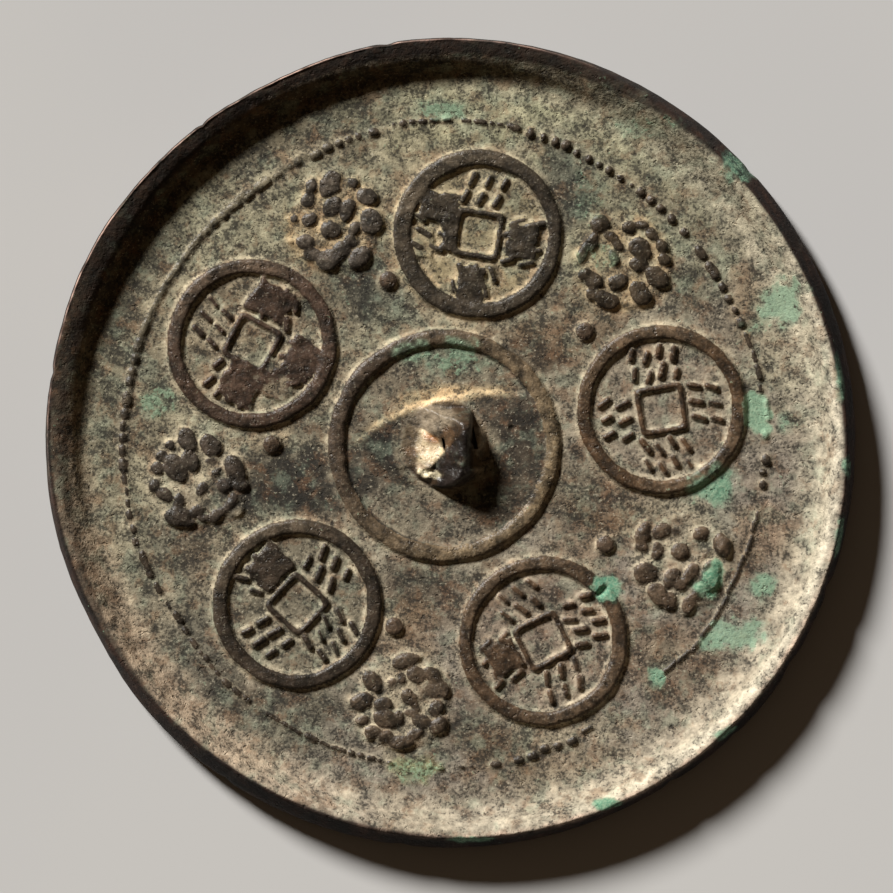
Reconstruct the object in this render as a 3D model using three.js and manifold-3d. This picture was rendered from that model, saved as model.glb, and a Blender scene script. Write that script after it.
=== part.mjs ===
// A cast bronze mirror with a pattern of coins, lying on its polished face with the decorated back up.
// Millimetres, +Z up. The origin is the centre of the flat underside.
// One casting, so one mesh: plate and rim, centre ring, pierced knob, five coin impressions,
// five rosettes, five small bosses and a line of beads, all joined.
import * as THREE from 'three';
import { mergeVertices } from 'three/addons/utils/BufferGeometryUtils.js';
import Module from 'manifold-3d';

const wasm = await Module();
wasm.setup();

// Plate and rim
const mirrorRadius = 60;
const fieldHeight = 2.2; // thickness of the plate, so the level of the plain field
const rimHeight = 6.7; // crest of the rim above the underside
const crestRadius = 58.6;
const crestLean = { offset: 0.7, bearing: 140 }; // the crest stands nearer the edge on this side
const rimSegments = 88;
const sink = 0.4; // how far each raised part reaches down into the plate
const draft = 0.3; // how much the side of each raised part leans

// The casting is a little out of round: bearing, offset and spread of each swell or flat of the edge
const edgeSwells = [
  { bearing: 152, offset: 0.5, spread: 13 },
  { bearing: 207, offset: -0.45, spread: 9 },
  { bearing: 115, offset: -0.3, spread: 9 },
  { bearing: 318, offset: 0.45, spread: 11 },
];

// The whole pattern sits a little off the centre of the rim
const patternCentre = new THREE.Vector2(-0.95, -0.4);

// Centre ring and the line of beads
const centreRing = { inner: 14.8, outer: 17.2, height: 0.75, segments: 48 };
const beadLine = { radius: 48, pitch: 1.9, length: 1.25, width: 0.8, height: 0.45 };
// Stretches of the bead line that survive, in degrees; the worn ones have run into a thin ridge
const beadStretches = [
  { from: -12, to: 78 },
  { from: 279, to: 298 },
];
const ridgeStretches = [
  { from: 80, to: 232 },
  { from: 236, to: 262 },
  { from: 309, to: 334 },
];
const ridgeSection = { width: 0.7, height: 0.35, step: 8 };

// Knob: a steep dome with a cord hole running nearly level from side to side
const knob = {
  centre: new THREE.Vector2(0.9, 0.2),
  halfLength: 6.9,
  halfWidth: 6,
  height: 6.6,
  bulge: 2.6, // the dome's height is 1 less its distance to this power, all to the power of its rounding
  rounding: 0.59,
  levels: [1, 0.93, 0.84, 0.72, 0.52, 0.28], // distances at which the dome's steps are taken
  segments: 20,
  turn: 12,
};
const cordHole = { halfWidth: 1.7, height: 3.3, floor: 0.7, segments: 12 };
const holeMouth = { reach: 6.8, halfLength: 4.6, halfWidth: 2.2, height: 5, segments: 12 };

// Step left by the core print: a pointed tip at the left, widening until it runs under the ring at the right
const corePrint = {
  height: 0.6,
  tip: [-13.3, 0.2],
  upperBow: [-3, 9.8],
  lowerBow: [-7, -7],
  endRadius: 16,
  upperBearing: 27,
  lowerBearing: -58,
  steps: 10,
};

// Coin impressions, by distance and bearing from the centre of the pattern; the head of each faces outward
const coins = [
  { distance: 31.7, bearing: 81, filled: ['left', 'right', 'foot'] },
  { distance: 32.6, bearing: 9.4, filled: [] },
  { distance: 32.4, bearing: -63.1, filled: ['right'] },
  { distance: 32, bearing: -132.8, filled: ['right'] },
  { distance: 32.2, bearing: 152, filled: ['left', 'right', 'foot'] },
];
const coin = {
  outer: 12.6,
  inner: 10,
  ringHeight: 1,
  squareOpening: 5.4,
  squareOuter: 7.3,
  squareHeight: 0.9,
  segments: 36,
};

// Worn inscription: rows of slanting strokes in the four places round the square.
// u runs to the right of the head and v towards the head, both from the centre of the coin.
const strokePlaces = {
  head: { u: 0, v: 6.6, width: 6.6, depth: 5, slant: 68 },
  right: { u: 6.4, v: -0.6, width: 5.6, depth: 5.8, slant: 24 },
  foot: { u: 0.4, v: -7, width: 6.2, depth: 5, slant: -66 },
  left: { u: -6.5, v: -0.4, width: 5.6, depth: 6.2, slant: -22 },
};
const stroke = { rows: 2, perRow: 3, length: 1.9, width: 0.75, height: 0.8, padHeight: 0.7 };

// Rosettes, all from one stamp: an outer and an inner round of petals that stand unevenly.
// Their bearings run from the side that faces outward, by way of the right.
const rosettes = [
  { distance: 36.5, bearing: 116.3 },
  { distance: 38, bearing: 45.5 },
  { distance: 39.4, bearing: -26.3 },
  { distance: 38.6, bearing: -99.5 },
  { distance: 36.7, bearing: 188.8 },
];
const petalRounds = [
  {
    bearings: [-20, 5, 28, 50, 77, 112, 168, 200, 228, 260, 286, 314],
    distance: 5.75,
    halfLength: 1.7,
    halfWidth: 1.4,
  },
  { bearings: [12, 66, 148, 252, 300], distance: 2.8, halfLength: 1.75, halfWidth: 1.3 },
];
const petal = { height: 1.05, shoulder: 0.76, shoulderHeight: 0.78, wander: 0.45, drift: 0.3, segments: 6 };

// Small bosses between the coins and the centre ring
const bosses = [
  { distance: 26.8, bearing: 39 },
  { distance: 25.8, bearing: 108.7 },
  { distance: 25.5, bearing: 179.7 },
  { distance: 27.8, bearing: -105.4 },
  { distance: 28, bearing: -31.5 },
];
const boss = { radius: 1.5, height: 0.8, segments: 8 };

const radians = THREE.MathUtils.degToRad;

// A point at a distance and bearing from the centre of the pattern
function patternPoint(distance, bearing) {
  const angle = radians(bearing);
  return new THREE.Vector2(Math.cos(angle), Math.sin(angle)).multiplyScalar(distance).add(patternCentre);
}

// A repeatable uneven number between -1 and 1, so that no two petals or strokes are alike
function uneven(seed) {
  const value = Math.sin(seed * 12.9898 + 4.1414) * 43758.5453;
  return 2 * (value - Math.floor(value)) - 1;
}

// The merged triangles of a closed geometry as a solid, turned right side out
function toSolid(geometry) {
  geometry.deleteAttribute('normal');
  geometry.deleteAttribute('uv');
  const merged = mergeVertices(geometry, 1e-4);
  const position = merged.getAttribute('position');
  const corner = [new THREE.Vector3(), new THREE.Vector3(), new THREE.Vector3()];
  const triangles = [];
  let volume = 0;
  for (let i = 0; i < merged.index.count; i += 3) {
    const face = [merged.index.getX(i), merged.index.getX(i + 1), merged.index.getX(i + 2)];
    if (new Set(face).size === 3) {
      face.forEach((vertex, k) => corner[k].fromBufferAttribute(position, vertex));
      volume += corner[0].dot(corner[1].clone().cross(corner[2]));
      triangles.push(face);
    }
  }
  const outward = volume > 0 ? triangles : triangles.map(([a, b, c]) => [a, c, b]);
  const vertProperties = new Float32Array(position.array);
  const triVerts = new Uint32Array(outward.flat());
  return new wasm.Manifold(new wasm.Mesh({ numProp: 3, vertProperties, triVerts }));
}

function toGeometry(solid) {
  const mesh = solid.getMesh();
  const indexed = new THREE.BufferGeometry();
  indexed.setAttribute('position', new THREE.BufferAttribute(mesh.vertProperties, 3));
  indexed.setIndex(new THREE.BufferAttribute(mesh.triVerts, 1));
  const flat = indexed.toNonIndexed();
  flat.computeVertexNormals();
  return flat;
}

// A profile of radius and height pairs turned about the vertical
function turned(profile, segments) {
  const points = profile.map(([radius, height]) => new THREE.Vector2(radius, height));
  return new THREE.LatheGeometry(points, segments).rotateX(Math.PI / 2);
}

// A raised band with leaning sides: round with many segments, square with four
function band(inner, outer, height, segments) {
  const base = -sink;
  const profile = [
    [inner - draft, base],
    [inner, height],
    [outer, height],
    [outer + draft, base],
    [inner - draft, base],
  ];
  return turned(profile, segments);
}

// A raised bar with leaning sides, its length along x
function bar(length, width, height) {
  const geometry = new THREE.BoxGeometry(length, width, height + sink);
  geometry.translate(0, 0, (height - sink) / 2);
  const position = geometry.getAttribute('position');
  for (let i = 0; i < position.count; i += 1) {
    if (position.getZ(i) > 0) {
      const x = position.getX(i);
      const y = position.getY(i);
      position.setXY(i, x - Math.sign(x) * draft / 2, y - Math.sign(y) * draft / 2);
    }
  }
  return geometry;
}

// A low dome with a steep foot and a rounded top
function dome(halfLength, halfWidth, height, segments) {
  const profile = [
    [0, -sink],
    [1, -sink],
    [petal.shoulder, petal.shoulderHeight * height],
    [0, height],
  ];
  return turned(profile, segments).scale(halfLength, halfWidth, 1);
}

// Sets a geometry down on the field at a place, turned by an angle in degrees
function placed(geometry, place, turn) {
  geometry.rotateZ(radians(turn));
  geometry.translate(place.x, place.y, fieldHeight);
  return toSolid(geometry);
}

function edgeOffset(bearing) {
  return edgeSwells.reduce((sum, swell) => {
    const away = THREE.MathUtils.euclideanModulo(bearing - swell.bearing + 180, 360) - 180;
    return sum + swell.offset * Math.exp(-((away / swell.spread) ** 2));
  }, 0);
}

// The crest runs nearest the edge at one side and, being slightly oval, not so near right across from it
function crestOffset(bearing) {
  const away = radians(bearing - crestLean.bearing);
  return crestLean.offset * (Math.cos(away) + Math.cos(2 * away));
}

// Plate and rim: flat face below, plain field above, and a concave slope up to a narrow crest.
// Each profile point follows the edge of the plate or the crest, whichever is named beside it.
function plate() {
  const profile = [
    { radius: 0, height: 0 },
    { radius: mirrorRadius - 0.6, height: 0, follows: edgeOffset },
    { radius: mirrorRadius, height: 0.7, follows: edgeOffset },
    { radius: mirrorRadius, height: 2.6, follows: edgeOffset },
    { radius: crestRadius + 0.6, height: rimHeight - 0.6, follows: crestOffset },
    { radius: crestRadius, height: rimHeight, follows: crestOffset },
    { radius: crestRadius - 0.6, height: rimHeight - 0.4, follows: crestOffset },
    { radius: crestRadius - 1.5, height: rimHeight - 1.7, follows: crestOffset },
    { radius: crestRadius - 2.8, height: fieldHeight + 1.3, follows: crestOffset },
    { radius: crestRadius - 4.2, height: fieldHeight + 0.4, follows: crestOffset },
    { radius: crestRadius - 5.8, height: fieldHeight, follows: crestOffset },
    { radius: 0, height: fieldHeight },
  ];
  const geometry = turned(profile.map(({ radius, height }) => [radius, height]), rimSegments);
  const position = geometry.getAttribute('position');
  for (let i = 0; i < position.count; i += 1) {
    const { radius, follows } = profile[i % profile.length];
    if (follows) {
      const x = position.getX(i);
      const y = position.getY(i);
      const stretch = 1 + follows(THREE.MathUtils.radToDeg(Math.atan2(y, x))) / radius;
      position.setXY(i, x * stretch, y * stretch);
    }
  }
  return toSolid(geometry);
}

// Staggered rows of slanting bars in one place of a coin
function strokeRows(place, index, headTurn, inCoin) {
  const solids = [];
  const spacing = place.width / stroke.perRow;
  for (let row = 0; row < stroke.rows; row += 1) {
    const stagger = (row % 2 ? 0.2 : -0.2) * spacing;
    for (let i = 0; i < stroke.perRow; i += 1) {
      const seed = 97 * index + 13 * row + 5 * i + place.u;
      const u = place.u + (i - (stroke.perRow - 1) / 2) * spacing + stagger;
      const v = place.v + (row - (stroke.rows - 1) / 2) * (place.depth / stroke.rows);
      const length = stroke.length * (1 + 0.2 * uneven(seed));
      const turn = headTurn + place.slant + 8 * uneven(seed + 1);
      solids.push(placed(bar(length, stroke.width, stroke.height), inCoin(u, v), turn));
    }
  }
  return solids;
}

function coinImpression({ distance, bearing, filled }, index) {
  const centre = patternPoint(distance, bearing);
  const headTurn = bearing - 90;
  const cornerReach = Math.SQRT1_2; // half the diagonal of a square of side 1
  const { squareOpening, squareOuter, squareHeight } = coin;
  const square = band(squareOpening * cornerReach, squareOuter * cornerReach, squareHeight, 4);
  const solids = [
    placed(band(coin.inner, coin.outer, coin.ringHeight, coin.segments), centre, bearing),
    placed(square, centre, headTurn + 45),
  ];
  const inCoin = (u, v) => {
    return new THREE.Vector2(u, v).rotateAround(new THREE.Vector2(), radians(headTurn)).add(centre);
  };
  for (const [name, place] of Object.entries(strokePlaces)) {
    if (filled.includes(name)) {
      const pad = bar(place.width, place.depth, stroke.padHeight);
      solids.push(placed(pad, inCoin(place.u, place.v), headTurn));
    } else {
      solids.push(...strokeRows(place, index, headTurn, inCoin));
    }
  }
  return solids;
}

// A petal's unevenness comes from the stamp, and its small drift from the rosette it belongs to
function rosette({ distance, bearing }, index) {
  const centre = patternPoint(distance, bearing);
  return petalRounds.flatMap((round, which) => round.bearings.map((petalBearing, i) => {
    const seed = 17 * which + 3 * i;
    const turn = bearing - petalBearing + 4 * uneven(seed + 61 * index);
    const reach = round.distance + petal.wander * uneven(seed) + petal.drift * uneven(seed + 1 + 61 * index);
    const swell = 1 + 0.18 * uneven(seed + 2);
    const place = new THREE.Vector2(reach, 0).rotateAround(new THREE.Vector2(), radians(turn)).add(centre);
    const shape = dome(round.halfLength * swell, round.halfWidth * swell, petal.height, petal.segments);
    return placed(shape, place, turn + 35 * uneven(seed + 3));
  }));
}

// Beads as short low bars end to end, and the worn stretches as a thin broken ridge
function beadLineSolids() {
  const solids = [];
  const addBars = (from, to, step, shape) => {
    const count = Math.floor((to - from) / step);
    for (let i = 0; i < count; i += 1) {
      const bearing = from + (i + 0.5) * step;
      solids.push(placed(shape(), patternPoint(beadLine.radius, bearing), bearing + 90));
    }
  };
  const pitchAngle = THREE.MathUtils.radToDeg(beadLine.pitch / beadLine.radius);
  const ridgeLength = radians(ridgeSection.step) * beadLine.radius;
  for (const { from, to } of beadStretches) {
    addBars(from, to, pitchAngle, () => bar(beadLine.length, beadLine.width, beadLine.height));
  }
  for (const { from, to } of ridgeStretches) {
    const { step, width, height } = ridgeSection;
    addBars(from, to, step, () => bar(ridgeLength, width, height));
  }
  return solids;
}

// The step of the core print: two bowed edges that run out from the tip to an arc under the ring
function corePrintSolid() {
  const { tip, upperBow, lowerBow, endRadius, upperBearing, lowerBearing, height, steps } = corePrint;
  const [from, to] = [radians(lowerBearing), radians(upperBearing)];
  const shape = new THREE.Shape();
  shape.moveTo(...tip);
  shape.quadraticCurveTo(...lowerBow, endRadius * Math.cos(from), endRadius * Math.sin(from));
  shape.absarc(0, 0, endRadius, from, to, false);
  shape.quadraticCurveTo(...upperBow, ...tip);
  const geometry = new THREE.ExtrudeGeometry(shape, {
    depth: height + sink,
    bevelEnabled: false,
    curveSegments: steps,
  });
  geometry.translate(0, 0, -sink);
  return placed(geometry, patternCentre, 0);
}

function knobSolid() {
  const centre = knob.centre.clone().add(patternCentre);
  const crown = knob.levels.map((level) => [level, knob.height * (1 - level ** knob.bulge) ** knob.rounding]);
  const profile = [[0, -sink], [1, -sink], ...crown, [0, knob.height]];
  const shape = turned(profile, knob.segments).scale(knob.halfWidth, knob.halfLength, 1);
  return placed(shape, centre, knob.turn);
}

// The cord hole: a level passage with a flared mouth at each side of the knob
function cordHoleSolid() {
  const centre = knob.centre.clone().add(patternCentre);
  const length = 3 * knob.halfWidth;
  const passage = new THREE.CylinderGeometry(1, 1, length, cordHole.segments).rotateZ(Math.PI / 2);
  passage.scale(1, cordHole.halfWidth, cordHole.height / 2);
  passage.translate(0, 0, cordHole.floor + cordHole.height / 2);
  const cuts = [placed(passage, centre, knob.turn)];
  for (const side of [-1, 1]) {
    const mouth = new THREE.SphereGeometry(1, holeMouth.segments, holeMouth.segments / 2).rotateX(Math.PI / 2);
    mouth.scale(holeMouth.halfLength, holeMouth.halfWidth, holeMouth.height);
    mouth.translate(side * holeMouth.reach, 0, cordHole.floor + holeMouth.height);
    cuts.push(placed(mouth, centre, knob.turn));
  }
  return wasm.Manifold.union(cuts);
}

function mirrorSolid() {
  const ringShape = band(centreRing.inner, centreRing.outer, centreRing.height, centreRing.segments);
  const raised = [
    plate(),
    placed(ringShape, patternCentre, 0),
    corePrintSolid(),
    ...coins.flatMap(coinImpression),
    ...rosettes.flatMap(rosette),
    ...bosses.map(({ distance, bearing }) => {
      const shape = dome(boss.radius, boss.radius, boss.height, boss.segments);
      return placed(shape, patternPoint(distance, bearing), bearing);
    }),
    ...beadLineSolids(),
    knobSolid(),
  ];
  return wasm.Manifold.union(raised).subtract(cordHoleSolid());
}

const bronze = new THREE.MeshStandardMaterial({ color: '#5d5446', roughness: 0.62, metalness: 0.55 });
bronze.flatShading = true;

const mirror = new THREE.Mesh(toGeometry(mirrorSolid()), bronze);
mirror.name = 'mirror';

const part = new THREE.Group();
part.add(mirror);

export default part;
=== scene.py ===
# A cast bronze mirror on its polished face: the relief and patina of its back, its floor, light and camera
import math

import bpy
import numpy as np
from mathutils.geometry import delaunay_2d_cdt
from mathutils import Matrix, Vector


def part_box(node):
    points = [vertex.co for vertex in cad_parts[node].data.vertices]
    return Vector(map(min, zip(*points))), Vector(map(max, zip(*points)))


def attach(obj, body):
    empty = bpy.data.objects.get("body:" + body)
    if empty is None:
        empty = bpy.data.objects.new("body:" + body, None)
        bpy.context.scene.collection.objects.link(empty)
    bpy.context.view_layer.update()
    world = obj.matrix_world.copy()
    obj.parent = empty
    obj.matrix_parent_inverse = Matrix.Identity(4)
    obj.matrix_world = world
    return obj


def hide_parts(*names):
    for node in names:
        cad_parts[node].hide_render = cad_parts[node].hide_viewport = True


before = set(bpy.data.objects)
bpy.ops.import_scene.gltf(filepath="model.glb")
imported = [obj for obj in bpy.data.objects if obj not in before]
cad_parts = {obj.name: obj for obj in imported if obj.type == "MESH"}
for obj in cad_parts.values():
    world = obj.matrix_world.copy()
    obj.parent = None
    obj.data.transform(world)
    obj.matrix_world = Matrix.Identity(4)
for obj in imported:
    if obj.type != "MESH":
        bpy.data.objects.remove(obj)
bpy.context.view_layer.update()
mirrorLow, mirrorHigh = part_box("mirror")
mm = 0.001
print("frame loaded: mirror", round((mirrorHigh[0] - mirrorLow[0]) / mm, 1), "mm across")

# Plate and rim, in mm; the overall sizes come from the frame
plate = {
    "edgeRadius": (mirrorHigh[0] - mirrorLow[0]) / 2 / mm,
    "fieldHeight": 2.2,
    "crestRadius": 58.6,
    "crestLean": 0.7,  # how far the crest moves towards the edge at its leaning side
    "crestSwell": (75, 0.8, 24),  # bearing, offset, spread
    "leanBearing": 140,
    "slopeWidth": 7,  # from the crest in to the plain field
    "patternX": -0.95,  # the pattern sits a little off the centre of the rim
    "patternY": -0.4,
}
# Swells and flats of the edge, as in the casting: bearing, offset, spread
edgeSwells = [
    (152, 0.5, 13), (207, -0.45, 9), (115, -0.3, 9), (318, 0.45, 11),
]
# Small chips in the crest and the edge: bearing, depth, spread in degrees
edgeChips = [
    (99, 0.35, 0.9), (128, 0.3, 0.5), (170, 0.3, 0.7), (42, 0.3, 0.8), (-21, 0.5, 1.1), (-33, 0.45, 1.6),
    (-46, 0.3, 1.0), (-57, 0.4, 0.8), (-97, 0.3, 1.2), (236, 0.3, 0.7),
]


def uneven(seed):
    # A repeatable uneven number from -1 to 1, the fractional part of a stretched sine
    value = math.sin(seed * 12.9898 + 4.1414) * 43758.5453
    return 2 * (value - math.floor(value)) - 1


def softNoise(x, y, cell, seed):
    # Random numbers on a square lattice of the given cell, blended smoothly between corners; -1 to 1
    corners = np.random.default_rng(seed).uniform(-1, 1, (256, 256))
    u, v = x / cell + 57.3, y / cell + 91.7
    i, j = np.floor(u).astype(int), np.floor(v).astype(int)
    s, t = u - i, v - j
    s, t = s * s * (3 - 2 * s), t * t * (3 - 2 * t)
    i, j = i & 255, j & 255
    nextI, nextJ = (i + 1) & 255, (j + 1) & 255
    near = corners[i, j] * (1 - s) + corners[nextI, j] * s
    far = corners[i, nextJ] * (1 - s) + corners[nextI, nextJ] * s
    return near * (1 - t) + far * t


def layeredNoise(x, y, cell, seed, layers=3):
    # Soft noise added to itself at half the cell and half the strength, layer by layer
    total = np.zeros_like(x)
    for layer in range(layers):
        total += softNoise(x, y, cell / 2**layer, seed + layer) / 2**layer
    return total / (2 - 2 / 2**layers)


def slopeUp(distance, flank):
    # 1 inside an outline and 0 outside it, over a smooth flank; distance is negative inside
    t = np.clip(0.5 - distance / flank, 0, 1)
    return t * t * (3 - 2 * t)


def rounded(share, power=2.4, fall=0.55):
    # The section of a worn bar: 1 on its middle line, falling ever faster to 0 where the share reaches 1
    return np.clip(1 - np.abs(share) ** power, 0, 1) ** fall


def turnedInto(x, y, degrees):
    # The same points in axes turned by an angle
    c, s = math.cos(math.radians(degrees)), math.sin(math.radians(degrees))
    return x * c + y * s, y * c - x * s


def ovalDistance(x, y, cx, cy, halfLength, halfWidth, turn):
    # Distance from a centre in units of an oval's own half sizes, so 1 is its outline
    along, across = turnedInto(x - cx, y - cy, turn)
    return np.hypot(along / halfLength, across / halfWidth)


def patternPoint(distance, bearing):
    # Measured from the centre of the pattern
    angle = math.radians(bearing)
    return plate["patternX"] + distance * math.cos(angle), plate["patternY"] + distance * math.sin(angle)


def bearingGap(bearing, middle):
    # The shorter way round, from -180 to 180
    return (bearing - middle + 180) % 360 - 180


def bells(start, rows, bearing):
    # A start value and a bell-shaped offset at each listed bearing
    total = np.full_like(bearing, start)
    for middle, offset, spread in rows:
        total += offset * np.exp(-((bearingGap(bearing, middle) / spread) ** 2))
    return total


def edgeRadiusAt(bearing):
    # The plate's own radius with the swells and flats of its edge
    return bells(plate["edgeRadius"], edgeSwells, bearing)


def crestRadiusAt(bearing):
    # A circle shifted to one side and slightly oval: cosines of the bearing and of twice it, and a swell
    away = np.radians(bearing - plate["leanBearing"])
    swell = bells(0, [plate["crestSwell"]], bearing)
    return plate["crestRadius"] + plate["crestLean"] * (np.cos(away) + np.cos(2 * away)) + swell


# Height of the crest above the field by bearing: the casting is thinner along the top
crestRise = [
    (-180, 3.2), (-160, 3.5), (-135, 4.2), (-90, 4.4), (0, 4.3), (35, 3.8), (60, 3.2), (80, 3.4),
    (105, 3.9), (122, 4.15), (140, 4.0), (160, 3.5), (180, 3.2),
]
# Distance in from the crest, and share of the rise left there: a hollow slope with a narrow lip,
# and the broader worn lip of the upper left
narrowLip = [
    (0, 1), (0.3, 0.98), (0.6, 0.95), (1.2, 0.86), (1.7, 0.705), (2.3, 0.5), (2.8, 0.33), (3.5, 0.17),
    (4.2, 0.075), (5, 0.02), (5.8, 0), (7, 0),
]
broadLip = [
    (0, 1), (0.5, 0.985), (1.6, 0.91), (2.5, 0.79), (3.1, 0.69), (3.5, 0.59), (3.9, 0.42), (4.3, 0.26),
    (4.8, 0.14), (5.5, 0.05), (6.3, 0.01), (7, 0),
]


def aroundBearing(bearing, middle, spread):
    # Near 1 within the spread of a bearing and 0 beyond, by the fourth power of the gap
    return np.exp(-((bearingGap(bearing, middle) / spread) ** 4))


def crestRiseAt(bearing):
    # Straight lines between the listed bearings
    return np.interp((bearing + 180) % 360 - 180, *np.array(crestRise).T)


def slopeRise(fromCrest, bearing):
    # The two lips mixed by bearing, times the rise there
    broad = aroundBearing(bearing, 128, 68)
    inward = np.clip(-fromCrest, 0, plate["slopeWidth"])
    narrowShare, broadShare = (np.interp(inward, *np.array(lip).T) for lip in (narrowLip, broadLip))
    return crestRiseAt(bearing) * (narrowShare * (1 - broad) + broadShare * broad)


# Ornament of the back, in mm; distances and bearings are from the centre of the pattern
centreRing = {"middle": 16, "halfWidth": 1.38, "height": 0.85, "wander": 0.22}

# Outer line: a faint ridge, and on it beads and dashes, each from bearing, to bearing, radius, width
beadLine = {"radius": 47.6, "ridgeRadius": 47.45, "ridgeHalf": 0.55, "ridgeHeight": 0.27}
dashes = [
    (332.2, 340, 47.3, 0.5), (323, 332, 47.5, 0.5), (320, 322.6, 47.6, 0.5), (317, 320.2, 47.2, 0.45),
    (313.8, 317.2, 46.8, 0.45), (295.5, 298, 47.1, 0.6), (292.4, 294.4, 47.7, 1.1),
    (289.9, 291.5, 47.5, 0.9), (287.4, 289.3, 47.3, 1.2), (284.8, 286.9, 47.8, 1.2),
    (282.4, 284.3, 47.9, 1), (278.3, 280.2, 47.8, 0.8), (274.4, 275.3, 47.7, 0.4),
    (272.6, 273.6, 47.6, 0.4), (268.8, 270, 47.8, 0.6), (267, 268, 47.5, 0.4), (259.8, 261, 47.7, 0.5),
    (258, 258.8, 47.6, 0.5), (256, 257.8, 47.5, 0.7), (254.3, 255.6, 47.5, 0.6), (252.6, 254, 47.5, 0.8),
    (249.5, 252.3, 47.6, 0.5), (247, 249.3, 47.6, 0.45), (244.3, 246.8, 47.5, 0.75),
    (241.2, 243.8, 47.6, 0.6), (239.6, 240.9, 47.5, 0.6), (236.2, 239.2, 47.5, 0.6),
    (231.3, 233.2, 47.5, 0.6), (228.9, 230.8, 47.7, 0.8), (226.6, 228.7, 47.7, 0.9),
    (224.6, 225.8, 47.5, 0.6), (223, 224.3, 47.4, 0.6), (221.2, 222.8, 47.2, 0.8), (220, 221, 47.3, 0.6),
    (217.2, 219.5, 47.2, 0.7), (214.8, 216.5, 47.1, 0.9), (211.6, 214.3, 46.9, 0.9),
    (209.5, 211, 47.2, 0.4), (205.2, 207.8, 47.3, 0.8), (199.2, 204.6, 47.5, 1), (196.6, 198.2, 47.9, 0.9),
    (194.2, 196, 47.6, 0.9), (191.6, 193.4, 47.7, 0.9), (189.6, 191.2, 47.6, 0.6),
    (187.6, 189.2, 47.5, 0.5), (185.2, 187, 47.6, 0.8), (182.2, 185, 47.6, 1.1), (179.8, 182, 47.6, 1.1),
    (177.8, 179.6, 47.6, 1.2), (175.6, 177.6, 47.6, 0.9), (173.4, 175.4, 47.5, 1.2),
    (170.4, 173.2, 47.5, 1.5), (167.6, 169.4, 47.5, 1.2), (165.8, 167.4, 47.5, 1.2),
    (163.4, 165.6, 47.5, 1.1), (160.4, 163.2, 47.6, 1.2), (157.2, 160.3, 47.6, 1),
    (152.6, 156.8, 47.6, 0.5), (150.2, 152.4, 47.6, 0.8), (147.8, 150, 47.6, 0.9),
    (145.3, 147.6, 47.5, 0.9), (143, 145, 47.4, 0.9), (138.8, 142.6, 47.6, 0.7), (137.4, 138.6, 47.3, 0.8),
    (134.8, 136.8, 47.4, 1), (132.8, 134.6, 47.2, 1.1), (129.6, 132.6, 47.1, 0.9), (126.8, 129.4, 47, 1),
    (123, 126.6, 47.1, 1.1), (120.6, 122.6, 47, 0.4), (118.4, 119.4, 47.1, 0.6), (116.6, 118, 47.1, 0.6),
    (112.6, 115, 47, 1.1), (110.3, 112.4, 47.3, 1.2), (108.4, 109.9, 47.4, 1.1), (106.6, 107.9, 47.4, 0.9),
    (104.9, 106.1, 47.5, 1), (101.7, 103.6, 47.5, 1.2), (98.6, 99.3, 48, 0.5), (96.6, 97.9, 48, 0.9),
    (94.8, 96.2, 48.1, 0.7), (93, 94.6, 48.1, 0.7), (90.8, 92.6, 48.2, 0.7), (88.6, 90.4, 48.2, 0.7),
    (85.2, 87, 48.2, 0.6), (82.4, 84.8, 48.2, 0.6), (81, 82, 48.2, 0.5), (79.4, 80.6, 48.2, 0.5),
    (76.3, 78.8, 48.2, 0.9), (73.9, 75.2, 47.9, 1.6), (71.7, 72.6, 47.9, 1.4), (69.2, 70.5, 47.9, 1.5),
    (67, 68.7, 48, 1.6), (65.2, 66.1, 47.5, 1.1), (62.6, 63.8, 47.5, 1.3), (60.5, 61.7, 47.5, 0.9),
    (58.4, 59.7, 47.5, 1.4), (56, 57.3, 47.4, 1), (53.8, 54.6, 47.5, 0.5), (51.3, 53, 47.5, 1.2),
    (49, 50.7, 47.5, 1.3), (46.8, 48.3, 47.5, 1.3), (43.9, 45.7, 47.5, 1.4), (40.8, 42.3, 47.5, 1.1),
    (35.4, 38.4, 47.5, 1.3), (31.2, 34.9, 47.4, 1.4), (28.8, 30.5, 47.4, 1.1), (26.5, 28, 47.4, 1.2),
    (24.3, 25.6, 47.5, 1), (21.5, 23.4, 47.5, 1.2), (17.6, 20.7, 47.6, 0.6), (14.8, 17.2, 47.8, 0.6),
    (11.6, 14.6, 47.8, 0.9), (9.4, 11, 47.5, 0.5), (4.2, 8, 48.1, 0.5), (1.2, 2.6, 47.6, 0.8),
    (-3.6, -1.6, 47.7, 1.3), (-5.3, -4.3, 47.3, 1.1), (-7.8, -6.2, 47.5, 1), (-13.8, -11.8, 47.5, 0.45),
    (-15.8, -13.6, 47.3, 0.45), (-20, -16.2, 47.5, 0.45),
]

# The raised bed under the knob, left by its core: from a point on one side it widens to the ring on the other
corePrint = {
    "height": 0.62, "tip": (-13.3, 0.2), "upperBow": (-3, 9.9), "upperEnd": (14.3, 7.3),
    "lowerBow": (-7, -7), "lowerEnd": (8.5, -13.6), "pit": (10.1, 2.5, 0.5),
}

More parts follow.
